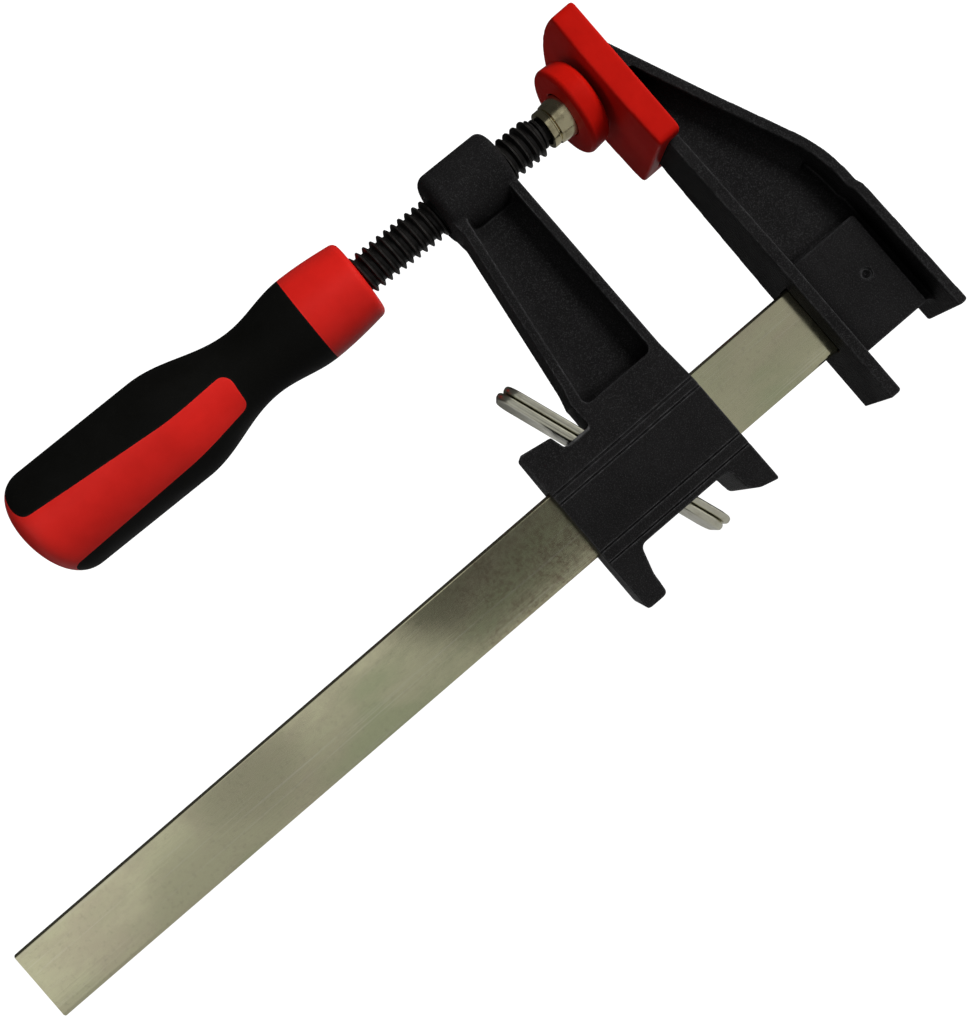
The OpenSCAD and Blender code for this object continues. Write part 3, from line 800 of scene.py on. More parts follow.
@dataclass(frozen=True)
class Shell:
    """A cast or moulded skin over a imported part: the same form, with soft edges and soft inner corners."""

    voxel: float = 0.0003
    rounds: int = 8
    kept: float = 0.2
    merge: float = 0.00001
    softness: float = 0.5
    quick_coarser: int = 2
    quick_fewer: int = 4

    def over(self, part: bpy.types.Object, name: str) -> bpy.types.Object:
        """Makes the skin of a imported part.

        Args:
            part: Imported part, whose own mesh stays as it is.
            name: Name of the skin.

        Returns:
            The skin, linked to the scene, with its modifiers applied.
        """
        skin = linked(name, part.data.copy())
        joined = skin.modifiers.new("joined corners", "WELD")
        joined.merge_threshold = self.merge
        even = skin.modifiers.new("even faces", "REMESH")
        even.mode = "VOXEL"
        even.voxel_size = self.voxel * 1
        soft = skin.modifiers.new("soft edges", "SMOOTH")
        soft.factor = self.softness
        soft.iterations = self.rounds // 1
        fewer = skin.modifiers.new("fewer faces", "DECIMATE")
        fewer.ratio = self.kept
        apply_modifiers(skin)
        skin.data.shade_smooth()
        return skin


def apply_modifiers(piece: bpy.types.Object) -> None:
    """Gives a piece the mesh that its modifiers make, and takes the modifiers away.

    Args:
        piece: Piece with modifiers.
    """
    shaped = piece.evaluated_get(bpy.context.evaluated_depsgraph_get())
    mesh = bpy.data.meshes.new_from_object(shaped)
    piece.modifiers.clear()
    piece.data = mesh


def carve(piece: bpy.types.Object, tools: tuple[bpy.types.Object, ...], operation: str = "DIFFERENCE") -> None:
    """Cuts a closed piece with closed tools.

    Args:
        piece: The piece that is cut.
        tools: The closed meshes that cut it.
        operation: DIFFERENCE to take the tools away, INTERSECT to keep what lies in them.
    """
    for tool in tools:
        cut = piece.modifiers.new(tool.name, "BOOLEAN")
        cut.operation = operation
        cut.solver = "EXACT"
        cut.object = tool
    apply_modifiers(piece)


def finished(name: str, mesh: bmesh.types.BMesh, place: Matrix) -> bpy.types.Object:
    """Turns a built mesh into an object at the origin, with its place in its mesh.

    Args:
        name: Name of the piece.
        mesh: The built mesh, which is freed.
        place: Where the mesh's own axes lie in the frame.

    Returns:
        The new object, linked to the scene.
    """
    bmesh.ops.remove_doubles(mesh, verts=mesh.verts, dist=MERGE_REACH)
    bmesh.ops.recalc_face_normals(mesh, faces=mesh.faces)
    bmesh.ops.transform(mesh, matrix=place, verts=mesh.verts)
    data = bpy.data.meshes.new(name)
    mesh.to_mesh(data)
    mesh.free()
    shade_smoothly(data, SHARP_TURNED)
    return linked(name, data)


def outline(mesh: bmesh.types.BMesh, points: list[Point]) -> list[bmesh.types.BMVert | bmesh.types.BMEdge]:
    """Adds an open outline of (radius, height) points in the XZ plane.

    Args:
        mesh: Mesh that takes the outline.
        points: Radius and height of each point.

    Returns:
        The outline's vertices and edges, ready to be spun.
    """
    verts = [mesh.verts.new((radius, 0.0, height)) for radius, height in points]
    return [*verts, *(mesh.edges.new(pair) for pair in zip(verts, verts[1:]))]


def spin_full(mesh: bmesh.types.BMesh, points: list[Point], steps: int = 64) -> None:
    """Spins an outline of (radius, height) points once round the Z axis into a closed skin."""
    bmesh.ops.spin(mesh, geom=outline(mesh, points), cent=(0, 0, 0), axis=(0, 0, 1), dvec=(0, 0, 0),
                   angle=math.tau, steps=steps, use_merge=True, use_duplicate=False)


def round_off(points: list[Point], corner: int, radius: float, steps: int = 4) -> list[Point]:
    """Replaces one corner of an outline by an arc.

    Args:
        points: The outline.
        corner: Number of the corner.
        radius: Radius of the arc.
        steps: Chords in the arc.

    Returns:
        The outline with its arc.
    """
    before, at, after = (Vector(points[corner + shift]) for shift in (-1, 0, 1))
    first, second = (before - at).normalized(), (after - at).normalized()
    half = first.angle(second) / 2
    centre = at + (first + second).normalized() * radius / math.sin(half)
    start = at + first * radius / math.tan(half) - centre
    stop = at + second * radius / math.tan(half) - centre
    turns = (start.slerp(stop, step / steps).normalized() for step in range(steps + 1))
    arc = [centre + radius * turn for turn in turns]
    return [*points[:corner], *(tuple(point) for point in arc), *points[corner + 1:]]


# Cuts along a score line, and half its floor, as shares of its width
LINE_CUTS = (-0.5, -0.25, 0.25, 0.5)
LINE_FLOOR = 0.26


def score_line(skin: bpy.types.Object, height: float, width: float, depth: float, beyond: float) -> None:
    """Presses a fine line along X into the front and back of a casting's skin.

    Args:
        skin: Skin that takes the line.
        height: Height of the line's middle.
        width: Width of the line at the surface.
        depth: How far its bottom lies in.
        beyond: Distance from the mid-plane past which the skin is pressed.
    """
    mesh = bmesh.new()
    mesh.from_mesh(skin.data)
    for share in LINE_CUTS:
        level = height + share * width
        near = [face for face in mesh.faces
                if min(vert.co.z for vert in face.verts) < level < max(vert.co.z for vert in face.verts)
                and max(abs(vert.co.y) for vert in face.verts) > beyond]
        around = {vert for face in near for vert in face.verts} | {edge for face in near for edge in face.edges}
        cut_across(mesh, (0, 0, level), (0, 0, 1), [*around, *near])
    for vert in mesh.verts:
        if abs(vert.co.z - height) < LINE_FLOOR * width and abs(vert.co.y) > beyond:
            vert.co.y -= math.copysign(depth, vert.co.y)
    mesh.to_mesh(skin.data)
    mesh.free()
    shade_smoothly(skin.data, SHARP_CAST)


@dataclass(frozen=True)
class ScrewAxis:
    """The axis of the screw and the handle, which falls a little towards the jaw."""

    middle: tuple[float, float, float] = (-0.0477, 0.0, 0.1189)
    fall: float = 2.0

    def place(self, x: float) -> Matrix:
        """Sets a turned part on the axis.

        Args:
            x: Where the part's Z = 0 lies along X.

        Returns:
            The part's axes, whose +Z runs to the jaw.
        """
        along = (x - self.middle[0]) / math.cos(math.radians(self.fall))
        turn = Matrix.Rotation(math.radians(90.0 + self.fall), 4, "Y")
        return Matrix.Translation(self.middle) @ turn @ Matrix.Translation((0, 0, along))

    def length(self, x_from: float, x_to: float) -> float:
        """Returns the length along the axis between two places along X."""
        return (x_to - x_from) / math.cos(math.radians(self.fall))


# Sub-assemblies


@dataclass(frozen=True)
class FixedEnd:
    """The bar with the fixed jaw, its pin and its cap."""

    casting: Shell = Shell()
    moulding: Shell = Shell(voxel=0.00028, rounds=30, kept=0.25)

    def build(self, dresser: Dresser) -> None:
        """Builds the skins of the jaw and its cap, and dresses the bar and the pin.

        Args:
            dresser: Gives the finishes.
        """
        dresser.dress_node("bar", BAR)
        dresser.dress_node("jaw_pin", PIN_END_IN_PAINTED_SHADE)
        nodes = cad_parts
        jaw = self.casting.over(nodes["fixed_jaw"], "jaw_casting")
        dresser.add_piece(jaw, Body.FRAME, CASTING, ("fixed_jaw",))
        cap = self.moulding.over(nodes["jaw_cap"], "jaw_cap_moulding")
        dresser.add_piece(cap, Body.FRAME, CAP_RED_PAINTED_DARKER, ("jaw_cap",))


@dataclass(frozen=True)
class SlidingArm:
    """The arm that slides on the bar, with its two clutch plates and their spring."""

    casting: Shell = Shell()
    plate_t: float = 0.0022
    plate_gap: float = 0.0003
    plate_half_width: float = 0.009
    plate_up: float = 0.043
    plate_down: float = 0.0282
    plate_corner_r: float = 0.0045
    plate_corner_steps: int = 8
    plate_edge_r: float = 0.00085
    plate_edge_steps: int = 4
    # A rim's edges: least angle between their faces, and greatest rise from end to end
    rim_turn: float = 1.0
    rim_rise: float = 0.0001
    slot: tuple[float, float] = (0.0065, 0.0241)
    tilt: float = 18.7
    clutch_x: float = -0.0643
    spring_seat_x: float = -0.0797
    spring_pressed: float = 0.82
    bar_middle: float = 0.0295
    lines_beyond: float = 0.0109
    # Height over the bar's middle, width and depth of each line
    lines: tuple[tuple[float, float, float], ...] = (
        (0.0099, 0.0008, 0.0004), (0.0070, 0.0006, 0.0004), (-0.0098, 0.0008, 0.0004), (-0.0133, 0.0006, 0.0004))

    def plate(self, side: str, offset: float) -> bpy.types.Object:
        """Builds one clutch plate: a punched sheet with round corners, round edges and a slot for the bar.

        Args:
            side: Side of the pair that it is on.
            offset: Distance of its middle from the middle of the pair.

        Returns:
            The plate, tilted as it grips.
        """
        mesh = bmesh.new()
        middle = (self.plate_up - self.plate_down) / 2
        whole = Matrix.Diagonal((2 * self.plate_half_width, self.plate_up + self.plate_down, 1.0, 1.0))
        bmesh.ops.create_grid(mesh, x_segments=1, y_segments=1, size=0.5,
                              matrix=Matrix.Translation((0, middle, 0)) @ whole)
        bmesh.ops.bevel(mesh, geom=mesh.verts[:], offset=self.plate_corner_r, offset_type="OFFSET",
                        segments=self.plate_corner_steps, profile=0.5, affect="VERTICES", material=-1)
        for axis, width in enumerate(self.slot):
            for way in (-1, 1):
                level, facing = Vector((0, 0, 0)), Vector((0, 0, 0))
                level[axis], facing[axis] = way * width / 2, 1.0
                cut_across(mesh, level, facing)
        inside = [face for face in mesh.faces
                  if all(abs(face.calc_center_median()[axis]) < width / 2 for axis, width in enumerate(self.slot))]
        bmesh.ops.delete(mesh, geom=inside, context="FACES")
        bmesh.ops.solidify(mesh, geom=mesh.faces[:], thickness=self.plate_t)
        bmesh.ops.recalc_face_normals(mesh, faces=mesh.faces)
        low = min(vert.co.z for vert in mesh.verts)
        bmesh.ops.translate(mesh, vec=(0, 0, -low - self.plate_t / 2), verts=mesh.verts)
        rims = [edge for edge in mesh.edges if edge.calc_face_angle(0.0) > self.rim_turn
                and abs(edge.verts[0].co.z - edge.verts[1].co.z) < self.rim_rise]
        bmesh.ops.bevel(mesh, geom=rims, offset=self.plate_edge_r, offset_type="OFFSET", clamp_overlap=True,
                        segments=self.plate_edge_steps, profile=0.5, affect="EDGES", material=-1)
        upright = Matrix(((0, 0, 1, 0), (1, 0, 0, 0), (0, 1, 0, 0), (0, 0, 0, 1)))
        tilt = math.radians(self.tilt)
        place = (Matrix.Translation((self.clutch_x, 0, self.bar_middle)) @ Matrix.Rotation(-tilt, 4, "Y")
                 @ Matrix.Translation((offset, 0, -offset * math.tan(tilt))) @ upright)
        return finished(f"clutch_sheet_{side}", mesh, place)

    def build(self, dresser: Dresser) -> None:
        """Builds the arm's skin with its fine lines, the two plates, and the spring that they press together.

        Args:
            dresser: Gives the finishes.
        """
        arm = self.casting.over(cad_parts["sliding_arm"], "arm_casting")
        for rise, width, depth in self.lines:
            score_line(arm, self.bar_middle + rise, width, depth, self.lines_beyond)
        dresser.add_piece(arm, Body.SLIDER, CASTING, ("sliding_arm",))
        offset = (self.plate_t + self.plate_gap) / 2
        for side, way in (("left", -1), ("right", 1)):
            dresser.add_piece(self.plate(side, way * offset), Body.CLUTCH, NICKEL, (f"clutch_plate_{side}",))
        spring = linked("coil_spring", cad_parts["clutch_spring"].data.copy())
        dresser.add_piece(spring, Body.SLIDER, WIRE, ("clutch_spring",))
        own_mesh(spring)


@dataclass(frozen=True)
class Spindle:
    """The threaded spindle, cut as one smooth thread from end to end."""

    axis: ScrewAxis = ScrewAxis()
    outer_r: float = 0.005925
    depth: float = 0.00125
    pitch: float = 0.0025
    # One tooth: share of the thread's depth, and share of the pitch
    tooth: tuple[Point, ...] = ((0.0, 0.0), (0.0, 0.13), (0.28, 0.20), (0.78, 0.33), (1.0, 0.41), (1.0, 0.55),
                                (0.78, 0.63), (0.28, 0.76), (0.0, 0.84), (0.0, 1.0))
    lead_turns: int = 2
    thread_from: float = -0.0859
    thread_to: float = -0.024
    steps_per_turn: int = 40
    merge: float = 0.00001
    neck_r: float = 0.0044
    neck_to: float = -0.0223
    groove_width: float = 0.0005
    groove_depth: float = 0.0008
    edge_cut: float = 0.0003
    tenon_depth: float = 0.002
    shank_r: float = 0.003
    tenon_r: float = 0.0025
    tang_r: float = 0.0049
    tang_length: float = 0.042
    ball_x: float = -0.0142
    ball_r: float = 0.0047

    def thread(self) -> bmesh.types.BMesh:
        """Winds one tooth along the axis, and cuts both ends of the winding square.

        Returns:
            The thread, with its start at Z = 0.
        """
        mesh = bmesh.new()
        root = self.outer_r - self.depth
        length = self.axis.length(self.thread_from, self.thread_to)
        start = [(root + rise * self.depth, (along - self.lead_turns) * self.pitch) for rise, along in self.tooth]
        turns = math.ceil(length / self.pitch) + self.lead_turns + 1
        bmesh.ops.spin(mesh, geom=outline(mesh, start), cent=(0, 0, 0), axis=(0, 0, 1),
                       dvec=(0, 0, self.pitch / self.steps_per_turn), angle=math.tau * turns,
                       steps=turns * self.steps_per_turn, use_merge=False, use_duplicate=False)
        bmesh.ops.remove_doubles(mesh, verts=mesh.verts, dist=self.merge)
        for height, facing in ((0.0, -1.0), (length, 1.0)):
            cut = cut_across(mesh, (0, 0, height), (0, 0, facing), clear_outer=True)
            rim = [item for item in cut["geom_cut"] if isinstance(item, bmesh.types.BMEdge)]
            bmesh.ops.edgeloop_fill(mesh, edges=rim)
        return mesh

    def ends(self, mesh: bmesh.types.BMesh) -> None:
        """Adds the tang in the handle and the turned end with its neck, shank and tenon.

        Args:
            mesh: The thread, which takes both ends.
        """
        length = self.axis.length(self.thread_from, self.thread_to)
        neck = length + self.axis.length(self.thread_to, self.neck_to)
        ball = self.axis.length(self.thread_from, self.ball_x)
        groove = self.outer_r - self.depth - self.groove_depth
        spin_full(mesh, [(0.0, -self.tang_length), (self.tang_r, -self.tang_length), (self.tang_r, 0.0), (0.0, 0.0)])
        shoulder = length + self.groove_width + self.edge_cut
        root = ball - self.ball_r + self.edge_cut
        spin_full(mesh, [(0.0, length), (groove, length), (groove, length + self.groove_width),
                         (self.neck_r, shoulder), (self.neck_r, neck - self.edge_cut),
                         (self.neck_r - self.edge_cut, neck), (self.shank_r, neck), (self.shank_r, root),
                         (self.tenon_r, root), (self.tenon_r, ball + self.tenon_depth),
                         (0.0, ball + self.tenon_depth)])

    def build(self, dresser: Dresser) -> None:
        """Builds the spindle and dresses the ball.

        Args:
            dresser: Gives the finishes.
        """
        mesh = self.thread()
        self.ends(mesh)
        piece = finished("screw_thread", mesh, self.axis.place(self.thread_from))
        dresser.add_piece(piece, Body.SCREW, OXIDE, ("spindle",))
        dresser.dress_node("spindle_ball", WIRE)


@dataclass(frozen=True)
class SwivelFoot:
    """The swivel foot on the ball, with its round cap. Heights run along +X from the ball's centre."""

    ball: tuple[float, float, float] = (-0.0142, 0.0, 0.11773)
    socket_r: float = 0.00475
    opening_r: float = 0.0043
    back: float = -0.0071
    rim_r: float = 0.0055
    groove_at: float = -0.0051
    groove_w: float = 0.0003
    groove_r: float = 0.0051
    edge_cut: float = 0.0003
    neck_r: float = 0.0065
    disc: tuple[float, float] = (0.0014, 0.0054)
    disc_r: float = 0.0095
    cap: tuple[float, float] = (-0.0001, 0.0072)
    cap_r: float = 0.0131
    cap_taper: float = 0.0006
    cap_back_r: float = 0.0014
    cap_face_r: float = 0.0026
    room: float = 0.0001
    soft_r: float = 0.00025
    socket_steps: int = 16
    corner_steps: int = 8
    steps: int = 96

    def place(self) -> Matrix:
        """Returns the foot's axes: its +Z runs to the jaw from the ball's centre."""
        return Matrix.Translation(self.ball) @ Matrix.Rotation(math.radians(90.0), 4, "Y")

    def ferrule(self) -> bpy.types.Object:
        """Turns the foot: a grooved neck round the ball's socket, with the disc that holds the cap.

        Returns:
            The foot.
        """
        meet = math.asin(self.opening_r / self.socket_r)
        socket = [(self.socket_r * math.sin(turn), self.socket_r * math.cos(turn))
                  for turn in (step / self.socket_steps * (math.pi - meet) for step in range(self.socket_steps + 1))]
        groove_to = self.groove_at + self.groove_w
        skin = [(self.opening_r, self.back), (self.rim_r, self.back), (self.rim_r, self.groove_at - self.edge_cut),
                (self.groove_r, self.groove_at), (self.groove_r, groove_to),
                (self.rim_r + self.edge_cut, groove_to + self.edge_cut), (self.neck_r, self.disc[0]),
                (self.disc_r, self.disc[0]), (self.disc_r, self.disc[1]), (0.0, self.disc[1])]
        for corner in (8, 7, 5, 1):
            skin = round_off(skin, corner, self.soft_r)
        mesh = bmesh.new()
        spin_full(mesh, socket + skin, self.steps)
        return finished("foot_ferrule", mesh, self.place())

    def round_cap(self) -> bpy.types.Object:
        """Turns the cap: a soft moulding over the disc, widest at its back.

        Returns:
            The cap.
        """
        back, face = self.cap
        neck_r, disc_r = self.neck_r + self.room, self.disc_r + self.room
        disc_from, disc_to = self.disc[0] - self.room, self.disc[1] + self.room
        skin = [(0.0, face), (self.cap_r - self.cap_taper, face), (self.cap_r, back), (neck_r, back),
                (neck_r, disc_from), (disc_r, disc_from), (disc_r, disc_to), (0.0, disc_to)]
        for corner, radius in ((3, self.soft_r), (2, self.cap_back_r), (1, self.cap_face_r)):
            skin = round_off(skin, corner, radius, self.corner_steps)
        mesh = bmesh.new()
        spin_full(mesh, skin, self.steps)
        return finished("round_cap_moulding", mesh, self.place())

    def build(self, dresser: Dresser) -> None:
        """Builds the foot and its cap."""
        dresser.add_piece(self.ferrule(), Body.FOOT, FOOT_NICKEL, ("swivel_foot",))
        dresser.add_piece(self.round_cap(), Body.FOOT, CAP_RED_PAINTED_DARKER, ("swivel_cap",))


@dataclass(frozen=True)
class Handle:
    """The two-colour handle, whose stations are measured from its front to the butt."""

    axis: ScrewAxis = ScrewAxis()
    front: float = -0.0862
    length: float = 0.116
    collar_length: float = 0.0189
    collar_front_r: float = 0.0116
    collar_r: float = 0.0131
    collar_edge_r: float = 0.002
    waist_at: float = 0.0381
    waist_r: float = 0.0107
    belly_at: float = 0.068
    belly_r: float = 0.01648
    butt_at: float = 0.106
    grip_end: float = 0.111
    grip_t: float = 0.002
    strip_turn: float = 37.0
    strip_front: tuple[Point, Point] = ((0.0442, -0.0064), (0.0458, 0.0044))
    strip_rear: Point = (-0.0109, 0.0074)
    strip_corner_r: float = 0.003
    panel_corner_r: float = 0.004
    bore_r: float = 0.00492
    bore_length: float = 0.043
    butt_fullness: float = 2.5
    station_step: float = 0.001
    butt_steps: int = 20
    corner_steps: int = 8
    steps: int = 128
    # First station behind the collar's rounded edge, in radii of that edge
    edge_room: float = 1.2
    # Reach of the tools past the handle's sides, and past its butt
    far: float = 0.03
    past_butt: float = 0.001

    @staticmethod
    def ease(first: float, last: float, share: float) -> float:
        """Returns the value at a share, from 0 to 1, of a smooth run from first to last."""
        return first + (last - first) * (1 - math.cos(math.pi * share)) / 2

    def radius(self, station: float) -> float:
        """Follows the handle's outline.

        Args:
            station: Distance from the handle's front.

        Returns:
            The radius there.
        """
        if station <= self.collar_length:
            swell = math.sin(math.pi / 2 * station / self.collar_length)
            return self.collar_front_r + (self.collar_r - self.collar_front_r) * swell
        if station <= self.waist_at:
            share = (station - self.collar_length) / (self.waist_at - self.collar_length)
            return self.ease(self.collar_r, self.waist_r, share)
        if station <= self.belly_at:
            share = (station - self.waist_at) / (self.belly_at - self.waist_at)
            return self.ease(self.waist_r, self.belly_r, share)
        if station <= self.butt_at:
            return self.belly_r
        share = (station - self.butt_at) / (self.length - self.butt_at)
        return self.belly_r * (1 - share ** self.butt_fullness) ** (1 / self.butt_fullness)

    def stations(self, first: float, last: float) -> list[float]:
        """Returns stations about a millimetre apart, closer together round the butt.

        Args:
            first: Station that they start after.
            last: Station that they end before.

        Returns:
            The stations in order.
        """
        even = [step * self.station_step for step in range(1, round(self.butt_at / self.station_step) + 1)]
        butt = [self.butt_at + (self.length - self.butt_at) * math.sin(math.pi / 2 * step / self.butt_steps)
                for step in range(1, self.butt_steps)]
        return [station for station in (*even, *butt) if first < station < last]

    def body(self, name: str) -> bpy.types.Object:
        """Turns the whole handle, with its collar's rounded front edge and the bore for the spindle.

        Args:
            name: Name of the piece.

        Returns:
            The handle, with its stations along -Z.
        """
        sides = [(self.radius(at), -at) for at in self.stations(self.edge_room * self.collar_edge_r, self.length)]
        skin = [(0.0, -self.bore_length), (self.bore_r, -self.bore_length), (self.bore_r, 0.0),
                (self.collar_front_r, 0.0), *sides, (0.0, -self.length)]
        mesh = bmesh.new()
        spin_full(mesh, round_off(skin, 3, self.collar_edge_r), self.steps)
        return finished(name, mesh, Matrix.Identity(4))

    def window(self, turn: float) -> bpy.types.Object:
        """Builds the tool for one red strip: its outline, swept from the axis outwards.

        Args:
            turn: Angle of the strip round the axis.

        Returns:
            A closed tool, with its stations along -Z.
        """
        up, low = self.strip_rear
        past = self.length + self.past_butt
        points = [(past, -self.far), (self.grip_end, -self.far), (self.grip_end, up), self.strip_front[0],
                  self.strip_front[1], (self.grip_end, low), (self.grip_end, self.far), (past, self.far)]
        for corner, radius in ((5, self.panel_corner_r), (4, self.strip_corner_r), (3, self.strip_corner_r),
                               (2, self.panel_corner_r)):
            points = round_off(points, corner, radius, self.corner_steps)
        mesh = bmesh.new()
        face = mesh.faces.new([mesh.verts.new((*point, 0.0)) for point in points])
        swept = bmesh.ops.extrude_face_region(mesh, geom=[face])
        moved = [item for item in swept["geom"] if isinstance(item, bmesh.types.BMVert)]
        bmesh.ops.translate(mesh, vec=(0, 0, self.far), verts=moved)
        return finished("strip tool", mesh, Matrix.Rotation(math.radians(turn), 4, "Z")
                        @ Matrix.Rotation(math.radians(90.0), 4, "Y"))

    def grip_room(self) -> bpy.types.Object:
        """Builds the tool for the black moulding: a ring round the core, less the strips.

        Returns:
            A closed tool, with its stations along -Z.
        """
        inner = [(self.radius(at) - self.grip_t, -at)
                 for at in (self.collar_length, *self.stations(self.collar_length, self.grip_end), self.grip_end)]
        ring = [(self.far, -self.collar_length), *inner, (self.far, -self.grip_end)]
        mesh = bmesh.new()
        spin_full(mesh, [*ring, ring[0]], self.steps)
        room = finished("grip tool", mesh, Matrix.Identity(4))
        windows = tuple(self.window(self.strip_turn - 90.0 + turn) for turn in (0.0, 180.0))
        carve(room, windows)
        for window in windows:
            bpy.data.objects.remove(window)
        return room

    def build(self, dresser: Dresser) -> None:
        """Builds the red core and the black grip moulded over it from the same turned body.

        Args:
            dresser: Gives the finishes.
        """
        room = self.grip_room()
        for name, operation, finish, part in (("handle_core_moulding", "DIFFERENCE", HANDLE_RED_PAINTED_LIGHTER, "handle_core"),
                                              ("handle_grip_moulding", "INTERSECT", GRIP, "handle_grip")):
            piece = self.body(name)
            carve(piece, (room,), operation)
            piece.data.transform(self.axis.place(self.front))
            shade_smoothly(piece.data, SHARP_MOULDED)
            dresser.add_piece(piece, Body.SCREW, finish, (part,))
        bpy.data.objects.remove(room)


# Studio


@dataclass(frozen=True)
class Camera:
    """The photograph's camera: square on to the clamp's plane and rolled, close to the clamp."""

    position: tuple[float, float, float] = (-0.1026, -0.264, 0.0435)
    roll: float = 40.77
    lens: float = 33.54
    sensor: float = 36.0
    seen: Span = (0.01, 20.0)
    image_size: tuple[int, int] = (971, 1020)
    axis_pixel: tuple[float, float] = (496.5, 525.0)

    def build(self) -> None:
        """Makes the camera and sets it as the scene's."""
        data = bpy.data.cameras.new("camera")
        data.sensor_width = self.sensor
        data.lens = self.lens
        width, height = self.image_size
        data.shift_x = (width / 2 - self.axis_pixel[0]) / max(width, height)
        data.shift_y = (self.axis_pixel[1] - height / 2) / max(width, height)
        data.clip_start, data.clip_end = self.seen
        camera = linked("camera", data)
        turn = math.radians(self.roll)
        right = Vector((math.cos(turn), 0.0, -math.sin(turn)))
        up = Vector((math.sin(turn), 0.0, math.cos(turn)))
        axes = Matrix((right, up, right.cross(up))).transposed()
        camera.matrix_world = Matrix.Translation(self.position) @ axes.to_4x4()
        bpy.context.scene.camera = camera


@dataclass(frozen=True)
class SoftBox:
    """A soft studio light: a rectangle that faces a point."""

    name: str
    position: tuple[float, float, float]
    target: tuple[float, float, float]
    size: tuple[float, float]
    power: float
    mirrored: bool = True

    def build(self) -> None:
        """Makes the light; one that isn't mirrored gives no highlights."""
        data = bpy.data.lights.new(self.name, "AREA")
        data.shape = "RECTANGLE"
        data.size, data.size_y = self.size
        data.energy = self.power
        light = linked(self.name, data)
        light.visible_glossy = self.mirrored
        light.location = self.position
        towards = Vector(self.target) - Vector(self.position)
        light.rotation_euler = towards.to_track_quat("-Z", "Y").to_euler()


@dataclass(frozen=True)
class Card:
    """A card beside the camera, dark or pale, which shows only in what the metal mirrors."""

    name: str
    position: tuple[float, float, float]
    size: tuple[float, float]
    roll: float
    glow: float
    colour: Colour = (0.02, 0.02, 0.02)

    def build(self) -> None:
        """Makes the card."""
        mesh = bmesh.new()
        bmesh.ops.create_grid(mesh, x_segments=1, y_segments=1, size=0.5)
        width, height = self.size
        place = (Matrix.Translation(self.position) @ Matrix.Rotation(math.radians(self.roll), 4, "Y")
                 @ Matrix.Rotation(math.radians(90.0), 4, "X") @ Matrix.Diagonal((width, height, 1.0, 1.0)))
        card = finished(self.name, mesh, place)
        material = bpy.data.materials.new(self.name)
        shader = Shader.blank(material)
        surface = shader.add("BsdfPrincipled", Base_Color=(*self.colour, 1.0), Roughness=1.0,
                             Emission_Color=(1.0, 1.0, 1.0, 1.0), Emission_Strength=self.glow)
        shader.feed(shader.add("OutputMaterial"), "Surface", surface.outputs["BSDF"])
        card.data.materials.append(material)
        card.visible_camera = False
        card.visible_diffuse = False
        card.visible_shadow = False


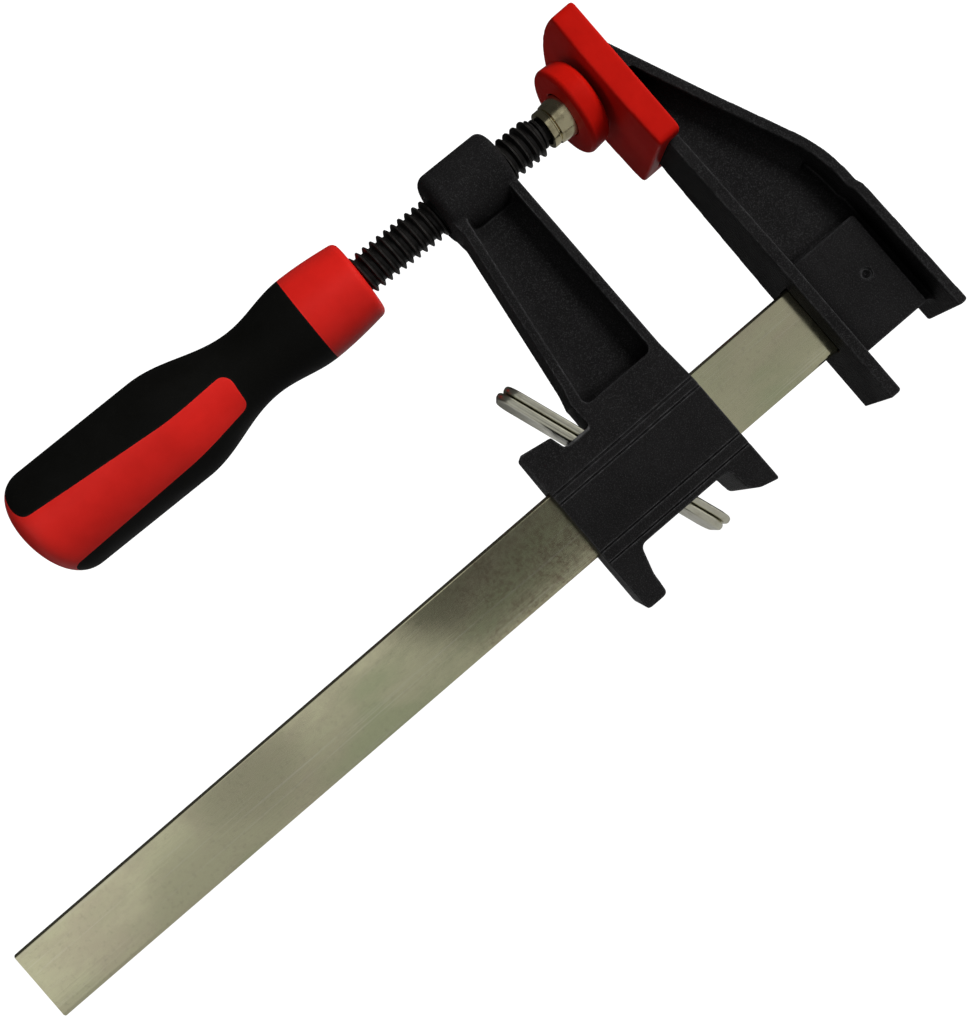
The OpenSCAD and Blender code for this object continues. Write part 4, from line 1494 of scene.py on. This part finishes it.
@dataclass(frozen=True)
class Studio:
    """The pale floor under the clamp's feet, the white surround, the soft lights and the cards."""

    floor_x: float = -0.1
    floor_z: float = -0.0001
    floor_size: float = 6.0
    floor_colour: Colour = (0.42, 0.42, 0.42)
    floor_glow: float = 1.0
    floor_mirrored: float = 0.30
    surround: float = 0.05
    white: float = 1.15
    lights: tuple[SoftBox, ...] = (
        SoftBox("front panel", (-0.25, -1.30, 0.25), (-0.25, 0.0, 0.0), (2.6, 0.6), 2.7),
        SoftBox("key box", (1.35, -1.45, 0.32), (-0.08, 0.0, 0.06), (0.8, 0.8), 42.0, mirrored=False),
        SoftBox("left fill", (-1.30, -0.55, 0.30), (-0.05, 0.0, 0.08), (0.6, 0.6), 2.0, mirrored=False),
        SoftBox("back fill", (0.15, 1.60, 0.40), (-0.10, 0.0, 0.05), (1.2, 0.8), 11.0, mirrored=False),
        SoftBox("side strip", (0.90, -0.35, 0.20), (-0.02, 0.0, 0.08), (0.7, 0.8), 1.8),
    )
    cards: tuple[Card, ...] = (
        Card("phone card", (-0.1026, -0.268, 0.0435), (0.118, 0.123), 40.77, 0.12),
        Card("dim card", (-0.3000, -0.272, 0.030), (0.060, 0.050), 40.77, 0.36),
        Card("grey card", (0.075, -0.270, 0.030), (0.110, 0.240), 0.0, 0.39),
        Card("pale card", (-0.440, -0.272, 0.030), (0.100, 0.160), 40.77, 0.76),
    )

    def floor(self) -> None:
        """Makes the pale floor, which glows a little so that it is seen as white."""
        mesh = bmesh.new()
        bmesh.ops.create_grid(mesh, x_segments=1, y_segments=1, size=self.floor_size / 2,
                              matrix=Matrix.Translation((self.floor_x, 0.0, self.floor_z)))
        floor = finished("floor", mesh, Matrix.Identity(4))
        material = bpy.data.materials.new("pale floor")
        shader = Shader.blank(material)
        matt = shader.add("BsdfDiffuse", Color=(*self.floor_colour, 1.0))
        path = shader.add("LightPath")
        seen = shader.math("MULTIPLY", path.outputs["Is Camera Ray"], self.floor_glow)
        mirrored = shader.math("MULTIPLY", path.outputs["Is Glossy Ray"], self.floor_mirrored)
        glow = shader.add("Emission", Strength=shader.math("ADD", seen, mirrored))
        both = shader.add("AddShader")
        shader.feed(both, 0, matt.outputs[0])
        shader.feed(both, 1, glow.outputs[0])
        shader.feed(shader.add("OutputMaterial"), "Surface", both.outputs[0])
        floor.data.materials.append(material)

    def world(self) -> None:
        """Makes the surround: white where it is seen, softer where it lights and is mirrored."""
        world = bpy.data.worlds.new("surround")
        bpy.context.scene.world = world
        shader = Shader.blank(world)
        seen = shader.add("MixShader")
        shader.feed(seen, 0, shader.add("LightPath").outputs["Is Camera Ray"])
        shader.feed(seen, 1, shader.add("Background", Color=(1.0, 1.0, 1.0, 1.0), Strength=self.surround).outputs[0])
        shader.feed(seen, 2, shader.add("Background", Color=(1.0, 1.0, 1.0, 1.0), Strength=self.white).outputs[0])
        shader.feed(shader.add("OutputWorld"), "Surface", seen.outputs[0])

    def build(self) -> None:
        """Builds the floor, the surround and the lights, and sets plain colours."""
        self.floor()
        self.world()
        for item in (*self.lights, *self.cards):
            item.build()
        bpy.context.scene.view_settings.view_transform = "Standard"


def main() -> None:
    """Builds the clamp's sub-assemblies in order, then the studio."""
    logging.basicConfig(level=logging.INFO, format="%(name)s: %(message)s")
    dresser = Dresser(Effects.build())
    for assembly in (FixedEnd(), SlidingArm(), Spindle(), SwivelFoot(), Handle()):
        assembly.build(dresser)
    Camera().build()
    Studio().build()


if __name__ == "__main__":
    main()
